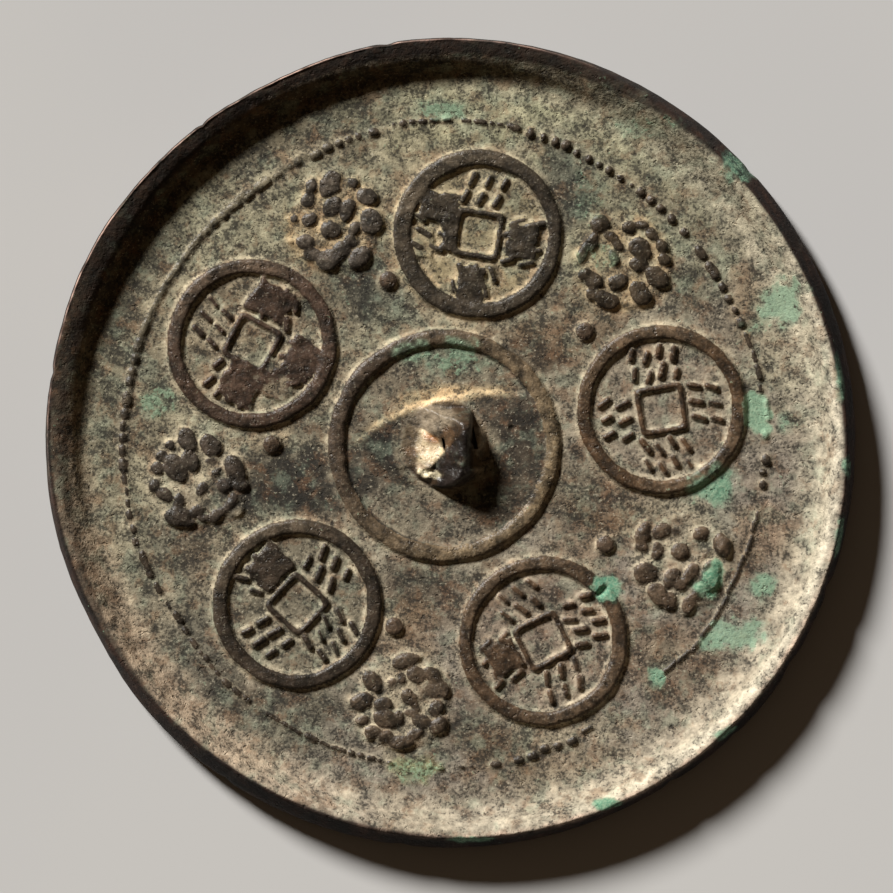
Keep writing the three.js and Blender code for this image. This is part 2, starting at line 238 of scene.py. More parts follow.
# Knob: a round base, a narrow arch left standing over the cord hole, and a mouth at each side of it
knob = {
    "x": 0.1, "y": 0.5, "base": 6.5, "domeHeight": 7.3,
    "height": mirrorHigh[2] / mm - plate["fieldHeight"],
    "shiftX": 0.2, "shiftY": -0.45,
    "ridgeX": 0, "ridgeY": -0.25, "fallAway": 0.36,  # the top falls away from a ridge running south-west
    "across": 0.729, "along": 0.684,  # cosine and sine of the turn of that ridge
    "eastSide": 3.75,
    # edge of the arch over the west mouth: x at each y
    "strapY": [-4.6, -3.5, -2.9, -0.45, 1.5, 2.85, 3.6],
    "strapX": [-0.7, -0.7, -2.2, -0.2, -1.2, -3.4, -5.4],
    "turn": 12, "holeX": 2.3, "holeY": 0.2, "holeFloor": 0.7, "holeHalfWidth": 1.7, "holeHeight": 2.5,
    "holeReach": 5.0,
}

coin = {"outer": 12.55, "inner": 10.35, "flank": 0.85, "ringHeight": 0.82, "square": 3.2, "squareHalf": 0.52,
        "squareHeight": 0.62, "wander": 0.2}
# Distance, bearing, colour of the worn tops and of the ground; the head of each coin faces outward
coins = [
    (31.7, 81, "#383129", "#8f8468"),
    (32.6, 9.4, "#493727", "#867b6b"),
    (32.4, -63.1, "#4c3b2c", "#857667"),
    (32, -132.8, "#342b23", "#6b6454"),
    (32.2, 152, "#43342b", "#786b57"),
]
# Width of each ring, and how much wider it is to its left
ringWidths = [(2.45, 0.35), (2.1, 0), (2.15, 0.1), (2.2, 0), (2.2, 0)]
# Rows of slanting strokes, which are no letters: place in the coin, size of the block, slant, columns, rows
strokePlaces = {
    "head": (0, 6.6, 7.2, 5.3, 70, 3, 2),
    "right": (6.8, -0.2, 5.9, 8.0, 22, 2, 4),
    "foot": (0.4, -6.9, 7.2, 5.3, -68, 3, 2),
    "left": (-6.8, 0, 5.9, 8.2, -20, 2, 4),
}
stroke = {"length": 2.65, "halfWidth": 0.56, "height": 0.6}
# Places where the strokes have run together into a lump: coin, u, v, half width, half depth, height
lumps = [
    (0, 6.7, 0, 2.5, 2.9, 0.62), (0, 0.2, -7.4, 2.1, 2.9, 0.66), (0, -6.2, 3.4, 3.2, 2.3, 0.72),
    (0, -4.3, -0.5, 1.1, 2.8, 0.7), (0, -8.2, -2.6, 2.2, 2.4, 0.45), (2, 6.4, -0.4, 2.7, 2.6, 0.6),
    (3, 6.7, -1.2, 2.8, 3.1, 0.66), (4, 6.9, 0.4, 2.7, 3.2, 0.7), (4, -5.9, -1.4, 3.4, 3.1, 0.6),
    (4, -3.4, -6.2, 2.6, 2.6, 0.5), (4, 1.2, -7.8, 3.3, 2.7, 0.66),
]

# Petals of each rosette: x, y, half length, half width, turn, height; a low one is a web between others
rosettes = [
    (36.5, 116.3, "#453e37", [
        (-3.5, 5.5, 1.4, 0.85, 80, 0.95), (-3.9, 3.6, 1.35, 1.1, 60, 0.9), (-0.7, 5.9, 2.2, 1.5, 60, 1.05),
        (2.55, 6, 0.9, 0.8, 0, 0.85), (4.7, 4.1, 1.65, 1.3, -20, 1.05), (5.4, 0.4, 1.95, 1.6, -70, 1.1),
        (-0.3, 2.6, 1.75, 1.2, 50, 1), (1.8, 2.1, 1.75, 1.1, 65, 1.05), (-3.75, 0.65, 1.35, 0.95, 30, 0.95),
        (-6.1, 0.8, 0.9, 0.8, 0, 0.7), (-0.65, -0.9, 1.5, 1.35, 0, 1), (2.95, -0.7, 1.35, 0.8, 60, 0.9),
        (2.4, -2.5, 1.15, 0.95, -30, 0.95), (-4.25, -2.6, 1.4, 1.2, 0, 1), (-6.2, -2.3, 0.6, 0.5, 0, 0.5),
        (-3.2, -4.5, 1.6, 1.1, -20, 0.85), (-1, -5.3, 1.95, 1.45, 10, 1.05), (0.9, -4, 1.6, 1.3, 60, 1),
        (3.75, -4.9, 2, 1.4, 50, 1.1), (-2, -2.6, 1.1, 0.9, 0, 0.55),
    ]),
    (38, 45.5, "#382f25", [
        (-3.6, 5.7, 1.55, 1.4, 0, 1.05), (-4.6, 3.1, 1.6, 0.95, 70, 1), (-6, 1.4, 2, 0.75, 65, 0.95),
        (-1.8, 3.8, 1.35, 0.8, -30, 0.85), (-3.1, 2.6, 0.9, 0.7, 0, 0.5), (-0.9, 2.6, 1.2, 0.85, -60, 0.9),
        (-1.6, 0.8, 1.6, 0.8, -70, 0.9), (-4.3, 0, 0.75, 0.65, 0, 0.5), (0.8, 5.2, 1.15, 0.95, 0, 1),
        (2.5, 5.5, 1.25, 0.75, -10, 0.95), (4.1, 4.1, 1.15, 0.8, -35, 1), (5.5, 2.5, 1.15, 0.8, -50, 1),
        (5.95, 0.5, 1.1, 0.85, -60, 1), (2.4, 2, 2, 1.5, -50, 1.05), (2.1, -0.3, 1.5, 1.25, 0, 1),
        (4.9, -2.2, 2.05, 1.45, -35, 1.1), (2.4, -4.6, 1.95, 1.45, -60, 1.05),
        (-0.9, -2.9, 1.55, 1.2, 20, 1), (-5.7, -1.8, 1.2, 0.85, 0, 0.95), (-4.4, -2.8, 1.55, 1.25, -30, 1),
        (-4.6, -4.6, 1.15, 0.95, 0, 0.9), (-2.5, -5.5, 1.85, 1.25, -20, 1.05),
    ]),
    (39.4, -26.3, "#4e4033", [
        (-5.9, 4.4, 1.9, 1.05, 75, 0.9), (-6.1, 2.4, 0.95, 0.9, 0, 0.85), (-3.2, 4.8, 1.7, 1.15, 35, 0.9),
        (-1.2, 6.8, 0.9, 0.55, 0, 0.5), (0.5, 6.9, 0.95, 0.55, 0, 0.5), (2.1, 6.4, 0.9, 0.5, -20, 0.5),
        (-1.1, 4.9, 1.1, 0.95, 0, 0.6), (2.7, 4.4, 1.15, 1.15, 0, 0.95), (4.4, 4.2, 1.1, 0.55, -60, 0.6),
        (5.8, 2.6, 2, 1.15, -70, 1.15), (3.5, 1.5, 1.4, 0.6, 50, 0.65), (-3.8, 1.9, 1.5, 0.95, 80, 0.8),
        (-0.3, 1.8, 1.5, 1.3, 0, 0.95), (-5.6, -1.5, 1.75, 1.5, 0, 1), (-4.2, -1, 0.9, 0.6, 0, 0.7),
        (-1.7, -2.2, 1.75, 1.2, 60, 0.95), (1.1, -1.6, 1.95, 0.95, 55, 0.95), (-0.4, -3.2, 1.2, 1, 0, 0.9),
        (4.1, -1.8, 2.35, 1.45, 80, 1.15), (-3.7, -4.6, 1.85, 1.35, -60, 0.95),
        (-1.9, -5.5, 1.3, 1.2, 0, 0.9), (0.9, -5.9, 1.95, 1, 60, 0.8), (2.5, -4.2, 1.6, 1, 60, 0.8),
    ]),
    (38.6, -99.5, "#493d31", [
        (0.6, 6.2, 2.15, 1.1, 15, 1), (2.3, 4.2, 1.7, 1.25, -20, 0.95), (4.6, 4.1, 1.7, 1.05, -40, 0.95),
        (6, 2.3, 1.7, 0.95, -65, 1), (4.6, 2, 1.9, 1.45, 0, 0.75), (2.9, 1.3, 1.1, 1, 0, 0.6),
        (-4.2, 3.1, 1.75, 1.35, -45, 0.95), (-1.3, 2.9, 1.3, 0.8, 20, 0.7), (0, 3.6, 1.3, 0.65, 80, 0.8),
        (-5.9, 0.2, 1.8, 1.35, 20, 0.95), (-2.6, -0.2, 1.5, 1.1, 0, 0.85),
        (-2.3, -2.5, 2.1, 1.35, -20, 0.95), (-0.3, -2.3, 1.3, 0.85, 80, 0.9),
        (-5.7, -2.6, 0.95, 0.85, 0, 0.8), (1.3, 0.65, 1.5, 1.05, -45, 0.95),
        (2.1, -0.5, 1.1, 0.75, -70, 0.8), (1.5, -1.6, 1.1, 0.65, 0, 0.75), (3.1, -2.8, 1.6, 1.05, -20, 0.9),
        (5.2, -0.8, 1.4, 1.05, 70, 0.95), (5.5, -3.3, 1.6, 1.05, 40, 1), (-4.2, -4.4, 1.3, 0.95, 0, 0.95),
        (-2.3, -5.1, 1.6, 0.95, -20, 0.9), (0, -5.9, 2, 1, 0, 1), (2, -4.7, 1.6, 0.85, 30, 0.85),
    ]),
    (36.7, 188.8, "#3c342d", [
        (-1.7, 6.3, 1.85, 1.35, -70, 1), (-4.3, 5.7, 0.95, 0.75, 0, 0.8), (-5.7, 4.1, 1, 0.95, 0, 0.85),
        (-6.1, 2.3, 1.1, 0.95, 0, 0.9), (-3.5, 2.3, 2.3, 1.6, -55, 1), (-1.3, 3.3, 1.85, 1.25, -70, 1.05),
        (1.8, 5.6, 1.8, 1.5, -50, 1.05), (1.9, 3.2, 1.1, 0.9, 0, 0.65), (2.7, 1.8, 1.3, 0.65, 40, 0.7),
        (5.4, 2.1, 2.25, 1.35, -60, 1.1), (6.2, -0.2, 1.25, 0.95, 0, 1), (3.9, -0.3, 1.3, 1.15, 0, 1),
        (0.45, -0.8, 1.45, 0.8, 50, 0.85), (-2, -0.5, 0.7, 0.6, 0, 0.4), (1.4, -2, 0.6, 0.5, 0, 0.4),
        (-6.6, -0.3, 1.15, 0.85, 70, 0.95), (-5.1, -1.6, 1.5, 0.95, -45, 1), (-3, -2.8, 1.4, 0.95, 80, 0.9),
        (-3.1, -4.9, 1.85, 1.5, 0, 1.05), (-0.35, -4.2, 1.4, 0.95, 30, 0.95),
        (-1.5, -5.9, 1.2, 0.65, 0, 0.8), (0.8, -5.1, 1.4, 0.65, 0, 0.85), (2.7, -4.6, 1.6, 0.85, 40, 0.9),
        (4.7, -2.9, 1.7, 0.85, 60, 0.95), (5.5, -3.9, 1.2, 0.95, 0, 0.6),
    ]),
]

bosses = [(26.8, 39), (25.8, 108.7), (25.5, 179.7), (27.8, -105.4), (28, -31.5)]
boss = {"radius": 1.5, "height": 0.8}


def bowedEdge(start, bow, end, x):
    # A curve bent towards one point, read as its height over x
    t = np.linspace(0, 1, 60)[:, None]
    path = (1 - t) ** 2 * np.array(start) + 2 * t * (1 - t) * np.array(bow) + t**2 * np.array(end)
    return np.interp(x, path[:, 0], path[:, 1])


def lumpShape(u, v, middleU, middleV, halfWidth, halfDepth, seed):
    # A block with a ragged outline: the greater of its two distances, shaken by soft noise, as a step
    outline = np.maximum(np.abs(u - middleU) - halfWidth, np.abs(v - middleV) - halfDepth)
    outline += 0.55 * layeredNoise(u, v, 2.1, seed) + 0.2 * softNoise(u, v, 0.7, seed + 5)
    return slopeUp(outline + 0.1, 0.55) * (1 + 0.2 * layeredNoise(u, v, 1.2, seed + 9))


def strokeRows(u, v, place, seed):
    # Rows of round-ended bars: the distance to a bar is the distance to its middle line
    placeU, placeV, width, depth, slant, columns, rows = place
    shape = np.zeros_like(u)
    for row in range(rows):
        stagger = (0.14 if row % 2 else -0.14) * width / columns
        for column in range(columns):
            which = seed + 13 * row + 5 * column + placeU
            middleU = placeU + (column - (columns - 1) / 2) * width / columns + stagger
            middleV = placeV + (row - (rows - 1) / 2) * depth / rows
            along, across = turnedInto(u - middleU, v - middleV, slant + 7 * uneven(which + 1))
            reach = stroke["length"] * (1 + 0.12 * uneven(which)) / 2 - stroke["halfWidth"]
            distance = np.hypot(np.maximum(np.abs(along) - reach, 0), across)
            halfWidth = stroke["halfWidth"] * (1 + 0.15 * uneven(which + 2))
            shape = np.maximum(shape, (1 + 0.1 * uneven(which + 3)) * rounded(distance / halfWidth, 2.2, 0.6))
    return shape


def coinShape(u, v, index):
    # The ring is a band with broad flanks, the square frame and strokes are worn bars; the highest wins
    seed = 100 * (index + 1)
    ringWidth, wider = ringWidths[index]
    wander = coin["wander"] * layeredNoise(u, v, 2.6, seed)
    rho = np.hypot(u, v)
    width = ringWidth - wider * u / np.maximum(rho, 1)
    across = np.abs(rho - coin["outer"] + width / 2 + wander)
    worn = (1 + 0.1 * softNoise(u, v, 4.5, seed + 3)) * (1 - 0.14 * np.clip(across / width, 0, 1) ** 2)
    shape = coin["ringHeight"] * worn * slopeUp(across - width / 2, coin["flank"])
    corner = (np.abs(u) ** 9 + np.abs(v) ** 9) ** (1 / 9)
    share = (corner - coin["square"] + 0.5 * wander) / coin["squareHalf"]
    eaten = 1 + 0.25 * np.minimum(layeredNoise(u, v, 2.3, seed + 21), 0)
    shape = np.maximum(shape, coin["squareHeight"] * eaten * rounded(share))
    for name in strokePlaces:
        rows = strokeRows(u, v, strokePlaces[name], seed + len(name))
        shape = np.maximum(shape, stroke["height"] * rows)
    for number, (which, middleU, middleV, halfWidth, halfDepth, height) in enumerate(lumps):
        if which == index:
            lump = lumpShape(u, v, middleU, middleV, halfWidth, halfDepth, seed + 7 * number)
            shape = np.maximum(shape, 0.88 * height * lump + 0.12 * lump * (shape > 0.3) * shape)
    if index == 2:
        shape *= 1 - 0.75 * slopeUp(ovalDistance(u, v, -11.3, -2.6, 1.3, 0.5, 15) - 1, 0.6)
    return shape


def rosetteShape(dx, dy, petals, seed):
    # A low ragged bed, and on it each petal: a step over an oval outline, with a slightly domed top
    dx = dx + 0.3 * layeredNoise(dx, dy, 1.5, seed)
    dy = dy + 0.3 * layeredNoise(dx, dy, 1.5, seed + 5)
    lumpy = 1 + 0.2 * layeredNoise(dx, dy, 1.1, seed + 13)
    shape = 0.3 * slopeUp(np.hypot(dx, dy) - 6.7 + 0.9 * layeredNoise(dx, dy, 3, seed + 9), 1.3)
    for cx, cy, halfLength, halfWidth, turn, height in petals:
        share = ovalDistance(dx, dy, cx, cy, halfLength + 0.12, halfWidth + 0.12, turn)
        dome = (1 - 0.32 * np.clip(share, 0, 1.2) ** 2) * lumpy
        shape = np.maximum(shape, 0.86 * height * dome * slopeUp((share - 1) * halfWidth, 0.55))
    return shape


def dashShape(radius, bearing, x, y):
    # A faint ridge on the left half, and round-ended bars laid along the circle, the wider the higher
    away = 0.1 * softNoise(x, y, 1.1, 71)
    along = np.maximum(aroundBearing(bearing, 152, 52), 0.8 * aroundBearing(bearing, 226, 24))
    across = np.abs(radius - beadLine["ridgeRadius"] + 0.3 * softNoise(x, y, 6, 77))
    ridge = slopeUp(across - beadLine["ridgeHalf"], 0.7)
    shape = (beadLine["ridgeHeight"] + 0.08 * softNoise(x, y, 2.2, 78)) * along * ridge
    for start, stop, middle, width in dashes:
        halfWidth = width / 2 + 0.12
        halfLength = math.radians(stop - start) * middle / 2 + 0.1
        along = np.radians(bearingGap(bearing, (start + stop) / 2)) * middle
        beyond = np.maximum(np.abs(along) - max(halfLength - halfWidth, 0), 0)
        if halfLength < halfWidth:
            beyond = along * halfWidth / halfLength
        distance = np.hypot(beyond, radius - middle + away) / halfWidth
        shape = np.maximum(shape, (0.24 + 0.24 * width) * rounded(distance, 2.6, 0.55))
    return shape


def corePrintShape(px, py):
    # Inside its two bowed edges: crisp along the upper one, lower and drawn out along the other
    upper = bowedEdge(corePrint["tip"], corePrint["upperBow"], corePrint["upperEnd"], px)
    lower = bowedEdge(corePrint["tip"], corePrint["lowerBow"], corePrint["lowerEnd"], px)
    wander = 0.22 * layeredNoise(px, py, 1.8, 31)
    belowUpper, aboveLower = (upper - py) * 0.85, (py - lower) * 0.85
    level = 0.42 + 0.58 * np.clip(aboveLower / 7, 0, 1)
    shape = level * slopeUp(wander - belowUpper, 0.65) * slopeUp(0.6 + wander - aboveLower, 1.9)
    inRing = slopeUp(np.hypot(px, py) - centreRing["middle"], 0.6)
    shape *= slopeUp(corePrint["tip"][0] + 0.3 - px, 1.2) * inRing
    pitX, pitY, pitRadius = corePrint["pit"]
    return corePrint["height"] * shape - 0.35 * slopeUp(np.hypot(px - pitX, py - pitY) - pitRadius, 0.5)


def knobShape(px, py):
    # The body read at points shaken by soft noise, which frays its outlines
    px, py = px - knob["shiftX"], py - knob["shiftY"]
    return knobBody(px + 0.3 * layeredNoise(px, py, 1.6, 43), py + 0.3 * layeredNoise(px, py, 1.6, 44))


def pastRidge(px, py):
    # How far past the ridge of the knob to the south-east
    return knob["across"] * (px - knob["ridgeX"]) - knob["along"] * (py - knob["ridgeY"])


def knobBody(px, py):
    # A steep boss cut by a plane that leans north-west, then cut back to low ground at both mouths
    lumpy, gritty = layeredNoise(px, py, 1.5, 41), layeredNoise(px, py, 0.8, 45)
    distance = np.hypot(px - knob["x"], py - knob["y"]) / knob["base"]
    dome = knob["domeHeight"] * np.clip(1 - distance**3.6, 0, 1) ** 0.6
    away = pastRidge(px, py)
    along = knob["along"] * (px - knob["ridgeX"]) + knob["across"] * (py - knob["ridgeY"])
    lean = knob["height"] + 0.1 - knob["fallAway"] * np.maximum(away, 0)
    lean -= 0.3 * np.maximum(-away - 0.2, 0) ** 1.3
    lean -= 0.35 * np.maximum(along - 3.8, 0) + 0.7 * np.maximum(-along - 2, 0)
    lean = np.minimum(lean, 3.2 + 1.0 * px + 0.2 * gritty + 0.22 * np.maximum(py, 0))
    north = 7.2 - 1.5 * np.maximum(py - 3.0, 0) ** 1.4 + 0.5 * np.maximum(-px, 0)
    body = np.minimum(np.minimum(dome, lean), np.maximum(north, 0))
    body += (0.24 * lumpy + 0.22 * gritty) * np.clip((1 - distance) * 4, 0, 1)
    pitted = slopeUp(ovalDistance(px, py, -1.6, 4.4, 3.2, 2.2, 0) - 1, 0.5)
    body -= 0.55 * pitted * np.clip(2 * gritty - 0.1, 0, 1)

    lump = 2.6 * rounded(ovalDistance(px, py, 4.5, 0.9, 1.6, 2.7, 0), 2.0, 0.8)
    collar = 0.95 * rounded(ovalDistance(px, py, 5.6, -3.4, 1.3, 1.0, 30), 2.4, 0.6)
    east = np.maximum(np.maximum(lump, collar), 0.62 + 0.1 * lumpy)
    inEast = slopeUp(knob["eastSide"] - px - 0.2 * lumpy, 0.7)
    inEast *= slopeUp(py - 6, 0.6)
    inEast *= slopeUp(-2.9 - py, 0.8)
    body = body * (1 - inEast) + np.minimum(east, body + 9) * inEast

    # earth packed in the west mouth, a wedge that opens westward, with broken ledges at its foot
    fill = 1.3 + 0.2 * (px + 4) - 0.2 * py + 0.22 * gritty + 0.15 * lumpy
    fill = 0.6 + (fill - 0.6) * np.clip((px + 4.6 + 0.5 * lumpy) / 1.7, 0, 1) ** 0.8
    fill -= 0.8 * np.clip((-2.75 - py - 0.35 * lumpy) / 0.5, 0, 1)
    ledge = slopeUp(ovalDistance(px, py, -1.75, -3.85, 1.15, 0.55, -8) - 0.9, 0.35) * (1.9 + 0.2 * gritty)
    step = slopeUp(ovalDistance(px, py, -3.4, -3.4, 1.2, 1.0, 20) - 0.8, 0.5) * (1.3 + 0.4 * gritty)
    west = np.maximum(np.maximum(fill, ledge), step)
    strapSide = np.interp(py, knob["strapY"], knob["strapX"])
    inWest = slopeUp(px - strapSide - 0.22 * lumpy, 0.6) * slopeUp(-py - 4.6 + 0.2 * lumpy, 0.5)
    return body * (1 - inWest) + west * inWest


# Height at which each kind of relief counts as a full worn top; bed and knob never reach theirs
fullHeights = {"bed": 9, "knob": 99, "coin": 0.78, "rosette": 0.85, "bead": 0.42}


def castRelief(x, y):
    # Everything cast on the back inside the slope: height above the field in mm, and share of full height
    px, py = x - plate["patternX"], y - plate["patternY"]
    radius, bearing = np.hypot(px, py), np.degrees(np.arctan2(py, px))
    height, crown = np.zeros_like(x), np.zeros_like(x)

    def raiseTo(near, shape, full):
        # The higher of what is there and the new shape, and the share of full height of the winner
        crown[near] = np.where(shape > height[near], shape / full, crown[near])
        height[near] = np.maximum(height[near], shape)

    near = np.nonzero(radius < 18.5)[0]
    nx, ny = px[near], py[near]
    wander = centreRing["wander"] * layeredNoise(nx, ny, 2.2, 21)
    share = (radius[near] - centreRing["middle"] + wander) / centreRing["halfWidth"]
    worn = centreRing["height"] * (1 + 0.12 * softNoise(nx, ny, 5, 24))
    raiseTo(near, worn * rounded(share, 2.6, 0.55), centreRing["height"])
    raiseTo(near, corePrintShape(nx, ny), fullHeights["bed"])
    near = np.nonzero(np.hypot(px, py) < 8)[0]
    raiseTo(near, knobShape(px[near], py[near]), fullHeights["knob"])
    for index, (distance, place, *_) in enumerate(coins):
        cx, cy = patternPoint(distance, place)
        near = np.nonzero(np.hypot(x - cx, y - cy) < coin["outer"] + 1)[0]
        shape = coinShape(*turnedInto(x[near] - cx, y[near] - cy, place - 90), index)
        raiseTo(near, shape, fullHeights["coin"])
    for index, (distance, place, _, petals) in enumerate(rosettes):
        cx, cy = patternPoint(distance, place)
        near = np.nonzero(np.hypot(x - cx, y - cy) < 9.5)[0]
        shape = rosetteShape(x[near] - cx, y[near] - cy, petals, 300 + 20 * index)
        raiseTo(near, shape, fullHeights["rosette"])
    for distance, place in bosses:
        cx, cy = patternPoint(distance, place)
        near = np.nonzero(np.hypot(x - cx, y - cy) < 2.2)[0]
        share = np.hypot(x[near] - cx, y[near] - cy) / (boss["radius"] + 0.1)
        raiseTo(near, boss["height"] * rounded(share, 2.6, 0.6), boss["height"])
    near = np.nonzero(np.abs(radius - beadLine["radius"]) < 2)[0]
    raiseTo(near, dashShape(radius[near], bearing[near], x[near], y[near]), fullHeights["bead"])
    proud = np.clip(height / 0.6, 0, 1)
    return height + proud * (0.05 * layeredNoise(x, y, 1.4, 91) + 0.035 * softNoise(x, y, 0.55, 95)), crown


def blurred(values, sigma):
    # Softened by a bell curve of the given width in cells, by way of its spectrum
    rows = np.fft.fftfreq(values.shape[0])[:, None]
    columns = np.fft.rfftfreq(values.shape[1])[None, :]
    bell = np.exp(-2 * (math.pi * sigma) ** 2 * (rows**2 + columns**2))
    return np.fft.irfft2(np.fft.rfft2(values) * bell, values.shape)


# The relief is worked out once on a fine square raster, in mm, and read from there
raster = {"cell": 0.125, "reach": 62, "fillet": 0.09}
axis = np.arange(-raster["reach"], raster["reach"] + raster["cell"] / 2, raster["cell"])
axisX, axisY = np.meshgrid(axis, axis, indexing="ij")
relief, crown = (values.reshape(axisX.shape) for values in castRelief(axisX.ravel(), axisY.ravel()))
relief = blurred(relief, raster["fillet"] / raster["cell"])
print("relief worked out on", relief.size, "cells")


def readRaster(values, x, y):
    # Straight-line reading between the cells of a square raster
    u, v = (x + raster["reach"]) / raster["cell"], (y + raster["reach"]) / raster["cell"]
    i = np.clip(np.floor(u).astype(int), 0, values.shape[0] - 2)
    j = np.clip(np.floor(v).astype(int), 0, values.shape[1] - 2)
    s, t = np.clip(u - i, 0, 1), np.clip(v - j, 0, 1)
    near = values[i, j] * (1 - s) + values[i + 1, j] * s
    far = values[i, j + 1] * (1 - s) + values[i + 1, j + 1] * s
    return near * (1 - t) + far * t


def skinHeight(x, y):
    # The uneven skin of a sand casting: broad waves, and lumps of a few millimetres
    return 0.1 * layeredNoise(x, y, 9, 51) + 0.1 * layeredNoise(x, y, 2.8, 55, 2)


def backHeight(x, y):
    # Relief and skin, and outside the pattern the slope up to the crest with its faint lumpy line
    radius, bearing = np.hypot(x, y), np.degrees(np.arctan2(y, x))
    fromCrest = radius - crestRadiusAt(bearing)
    rise = slopeRise(fromCrest, bearing)
    line = np.exp(-(((fromCrest + 2.5) / 0.35) ** 2)) * aroundBearing(bearing, 135, 45)
    rise += 0.14 * line * (0.6 + 0.8 * softNoise(x, y, 1.2, 57))
    return plate["fieldHeight"] + readRaster(relief, x, y) + skinHeight(x, y) + rise


# Mesh of the casting: a disc of lattice points, then rows out over the rim and in under it
lattice = {"steps": (8, 4, 2), "tolerance": 0.035, "edge": 52.4, "around": 720}


def bendAt(values, step):
    # How far the surface lies from a straight line over one step each way: the most of four directions,
    # spread over the step's own reach
    bend = np.zeros_like(values)
    for i, j in ((1, 0), (0, 1), (1, 1), (1, -1)):
        before = np.roll(values, (i * step, j * step), (0, 1))
        after = np.roll(values, (-i * step, -j * step), (0, 1))
        bend = np.maximum(bend, np.abs(before + after - 2 * values) / 2)
    for side in (0, 1):
        spread = bend
        for shift in range(1, step + 1):
            spread = np.maximum(spread, np.maximum(np.roll(bend, shift, side), np.roll(bend, -shift, side)))
        bend = spread
    return bend


def discPoints():
    # Square lattices, each half the one before; a finer point stays where leaving it out would show
    inside = np.hypot(axisX, axisY) < lattice["edge"] - 0.3
    kept = np.zeros(relief.shape, bool)
    for number, step in enumerate(lattice["steps"]):
        here = np.zeros(relief.shape, bool)
        here[::step, ::step] = True
        if number > 0:
            here &= bendAt(relief, step) > lattice["tolerance"] * (1 if step > 2 else 2)
        kept |= here
    kept &= inside
    angle = np.arange(lattice["around"]) * 2 * math.pi / lattice["around"]
    circle = lattice["edge"] * np.stack([np.cos(angle), np.sin(angle)], -1)
    return np.concatenate([circle, np.stack([axisX[kept], axisY[kept]], -1)])


def ringFaces(inner, outer):
    # Quads between two rows of the same count
    return np.stack([inner, outer, np.roll(outer, -1), np.roll(inner, -1)], -1)


def halvingFaces(fine, coarse):
    # Three triangles for each step of the coarse row, between it and a row of twice its count
    first, second, third = fine[0::2], fine[1::2], np.roll(fine[0::2], -1)
    onward = np.roll(coarse, -1)
    return np.concatenate([
        np.stack([first, coarse, second], -1),
        np.stack([second, coarse, onward], -1),
        np.stack([second, onward, third], -1),
    ])


def rimRows(count):
    # Rows from the foot of the slope over the crest and down the edge, as radius and height at each bearing
    bearing = np.arange(count) * 360 / count
    angle = np.radians(bearing)
    chips = bells(0, edgeChips, bearing)
    ripple = np.abs(0.13 * layeredNoise(30 * np.cos(angle), 30 * np.sin(angle), 1.9, 61))
    crest = crestRadiusAt(bearing)
    edge = np.minimum(edgeRadiusAt(bearing), plate["edgeRadius"] + 0.45) - 0.04 - ripple - 0.8 * chips
    top = plate["fieldHeight"] + crestRiseAt(bearing)
    crest = np.minimum(crest, edge - 0.55)
    drop = 0.6 * chips + 0.2 * ripple
    rows = []
    for share in np.linspace(0.04, 1, 16) ** 0.9:
        radius = crest * share + (lattice["edge"] + 0.2) * (1 - share)
        x, y = radius * np.cos(angle), radius * np.sin(angle)
        pits = 0.06 * share * softNoise(x, y, 0.75, 62) + 0.05 * share * softNoise(x, y, 1.6, 66)
        rows.append((radius, backHeight(x, y) - drop * share**8 + pits - 0.05 * share))
    wall = (edge - crest).clip(0.35, 1.3)
    for out, down in ((0.14, 0.04), (0.3, 0.2), (0.42, 0.5)):
        rows.append((crest + out * wall, top - down - drop + 0 * angle))
    for share in (0.12, 0.3, 0.5, 0.7, 0.86, 1):
        lumps = 0.1 * layeredNoise(bearing + 400, 9 * share + 0 * bearing, 1.7, 63)
        radius = crest + 0.5 * wall + (edge - crest - 0.5 * wall) * math.sin(share * math.pi / 2)
        height = (top - 0.75) * (1 - share) + 2.4 * share + 0 * angle
        rows.append((radius - np.abs(lumps) * math.sin(share * 3), height))
    for inward, height in ((0.02, 1.5), (0.03, 0.8), (0.2, 0.3), (0.5, 0.06)):
        rows.append((edge - inward, height + 0 * angle))
    return [np.stack([radius * np.cos(angle), radius * np.sin(angle), height], -1) for radius, height in rows]


def castingMesh():
    # One closed skin: relief disc, rim rows, and a flat face below that closes in ever fewer steps
    plan = discPoints()
    faces = np.array(delaunay_2d_cdt(plan, [], [], 0, 1e-6, False)[2])
    top = np.concatenate([plan, backHeight(plan[:, 0], plan[:, 1])[:, None]], 1)
    parts, polygons, start = [top], [faces], len(top)
    count = lattice["around"]
    previous = np.arange(count)
    for points in rimRows(count):
        row = np.arange(start, start + count)
        polygons.append(ringFaces(previous, row))
        parts.append(points)
        start += count
        previous = row
    for shrink in (0.985, 0.9, 0.72, 0.45):
        count //= 2
        angle = np.arange(count) * 2 * math.pi / count
        radius = shrink * (plate["edgeRadius"] - 0.6)
        parts.append(np.stack([radius * np.cos(angle), radius * np.sin(angle), 0 * angle], -1))
        row = np.arange(start, start + count)
        polygons.append(halvingFaces(previous, row))
        start += count
        previous = row
    parts.append(np.array([[0.0, 0.0, 0.0]]))
    polygons.append(np.stack([previous, np.full(count, start), np.roll(previous, -1)], -1))
    return np.concatenate(parts), polygons


def meshFromArrays(name, points, polygons):
    # Points and faces go straight into the mesh as whole arrays
    mesh = bpy.data.meshes.new(name)
    counts = np.concatenate([np.full(len(p), p.shape[1]) for p in polygons])
    corners = np.concatenate([p.ravel() for p in polygons])
    mesh.vertices.add(len(points))
    mesh.vertices.foreach_set("co", (points * mm).astype(np.float32).ravel())
    mesh.loops.add(len(corners))
    mesh.loops.foreach_set("vertex_index", corners.astype(np.int32))
    mesh.polygons.add(len(counts))
    mesh.polygons.foreach_set("loop_start", np.concatenate([[0], np.cumsum(counts)[:-1]]).astype(np.int32))
    mesh.update(calc_edges=True)
    mesh.validate()
    return mesh


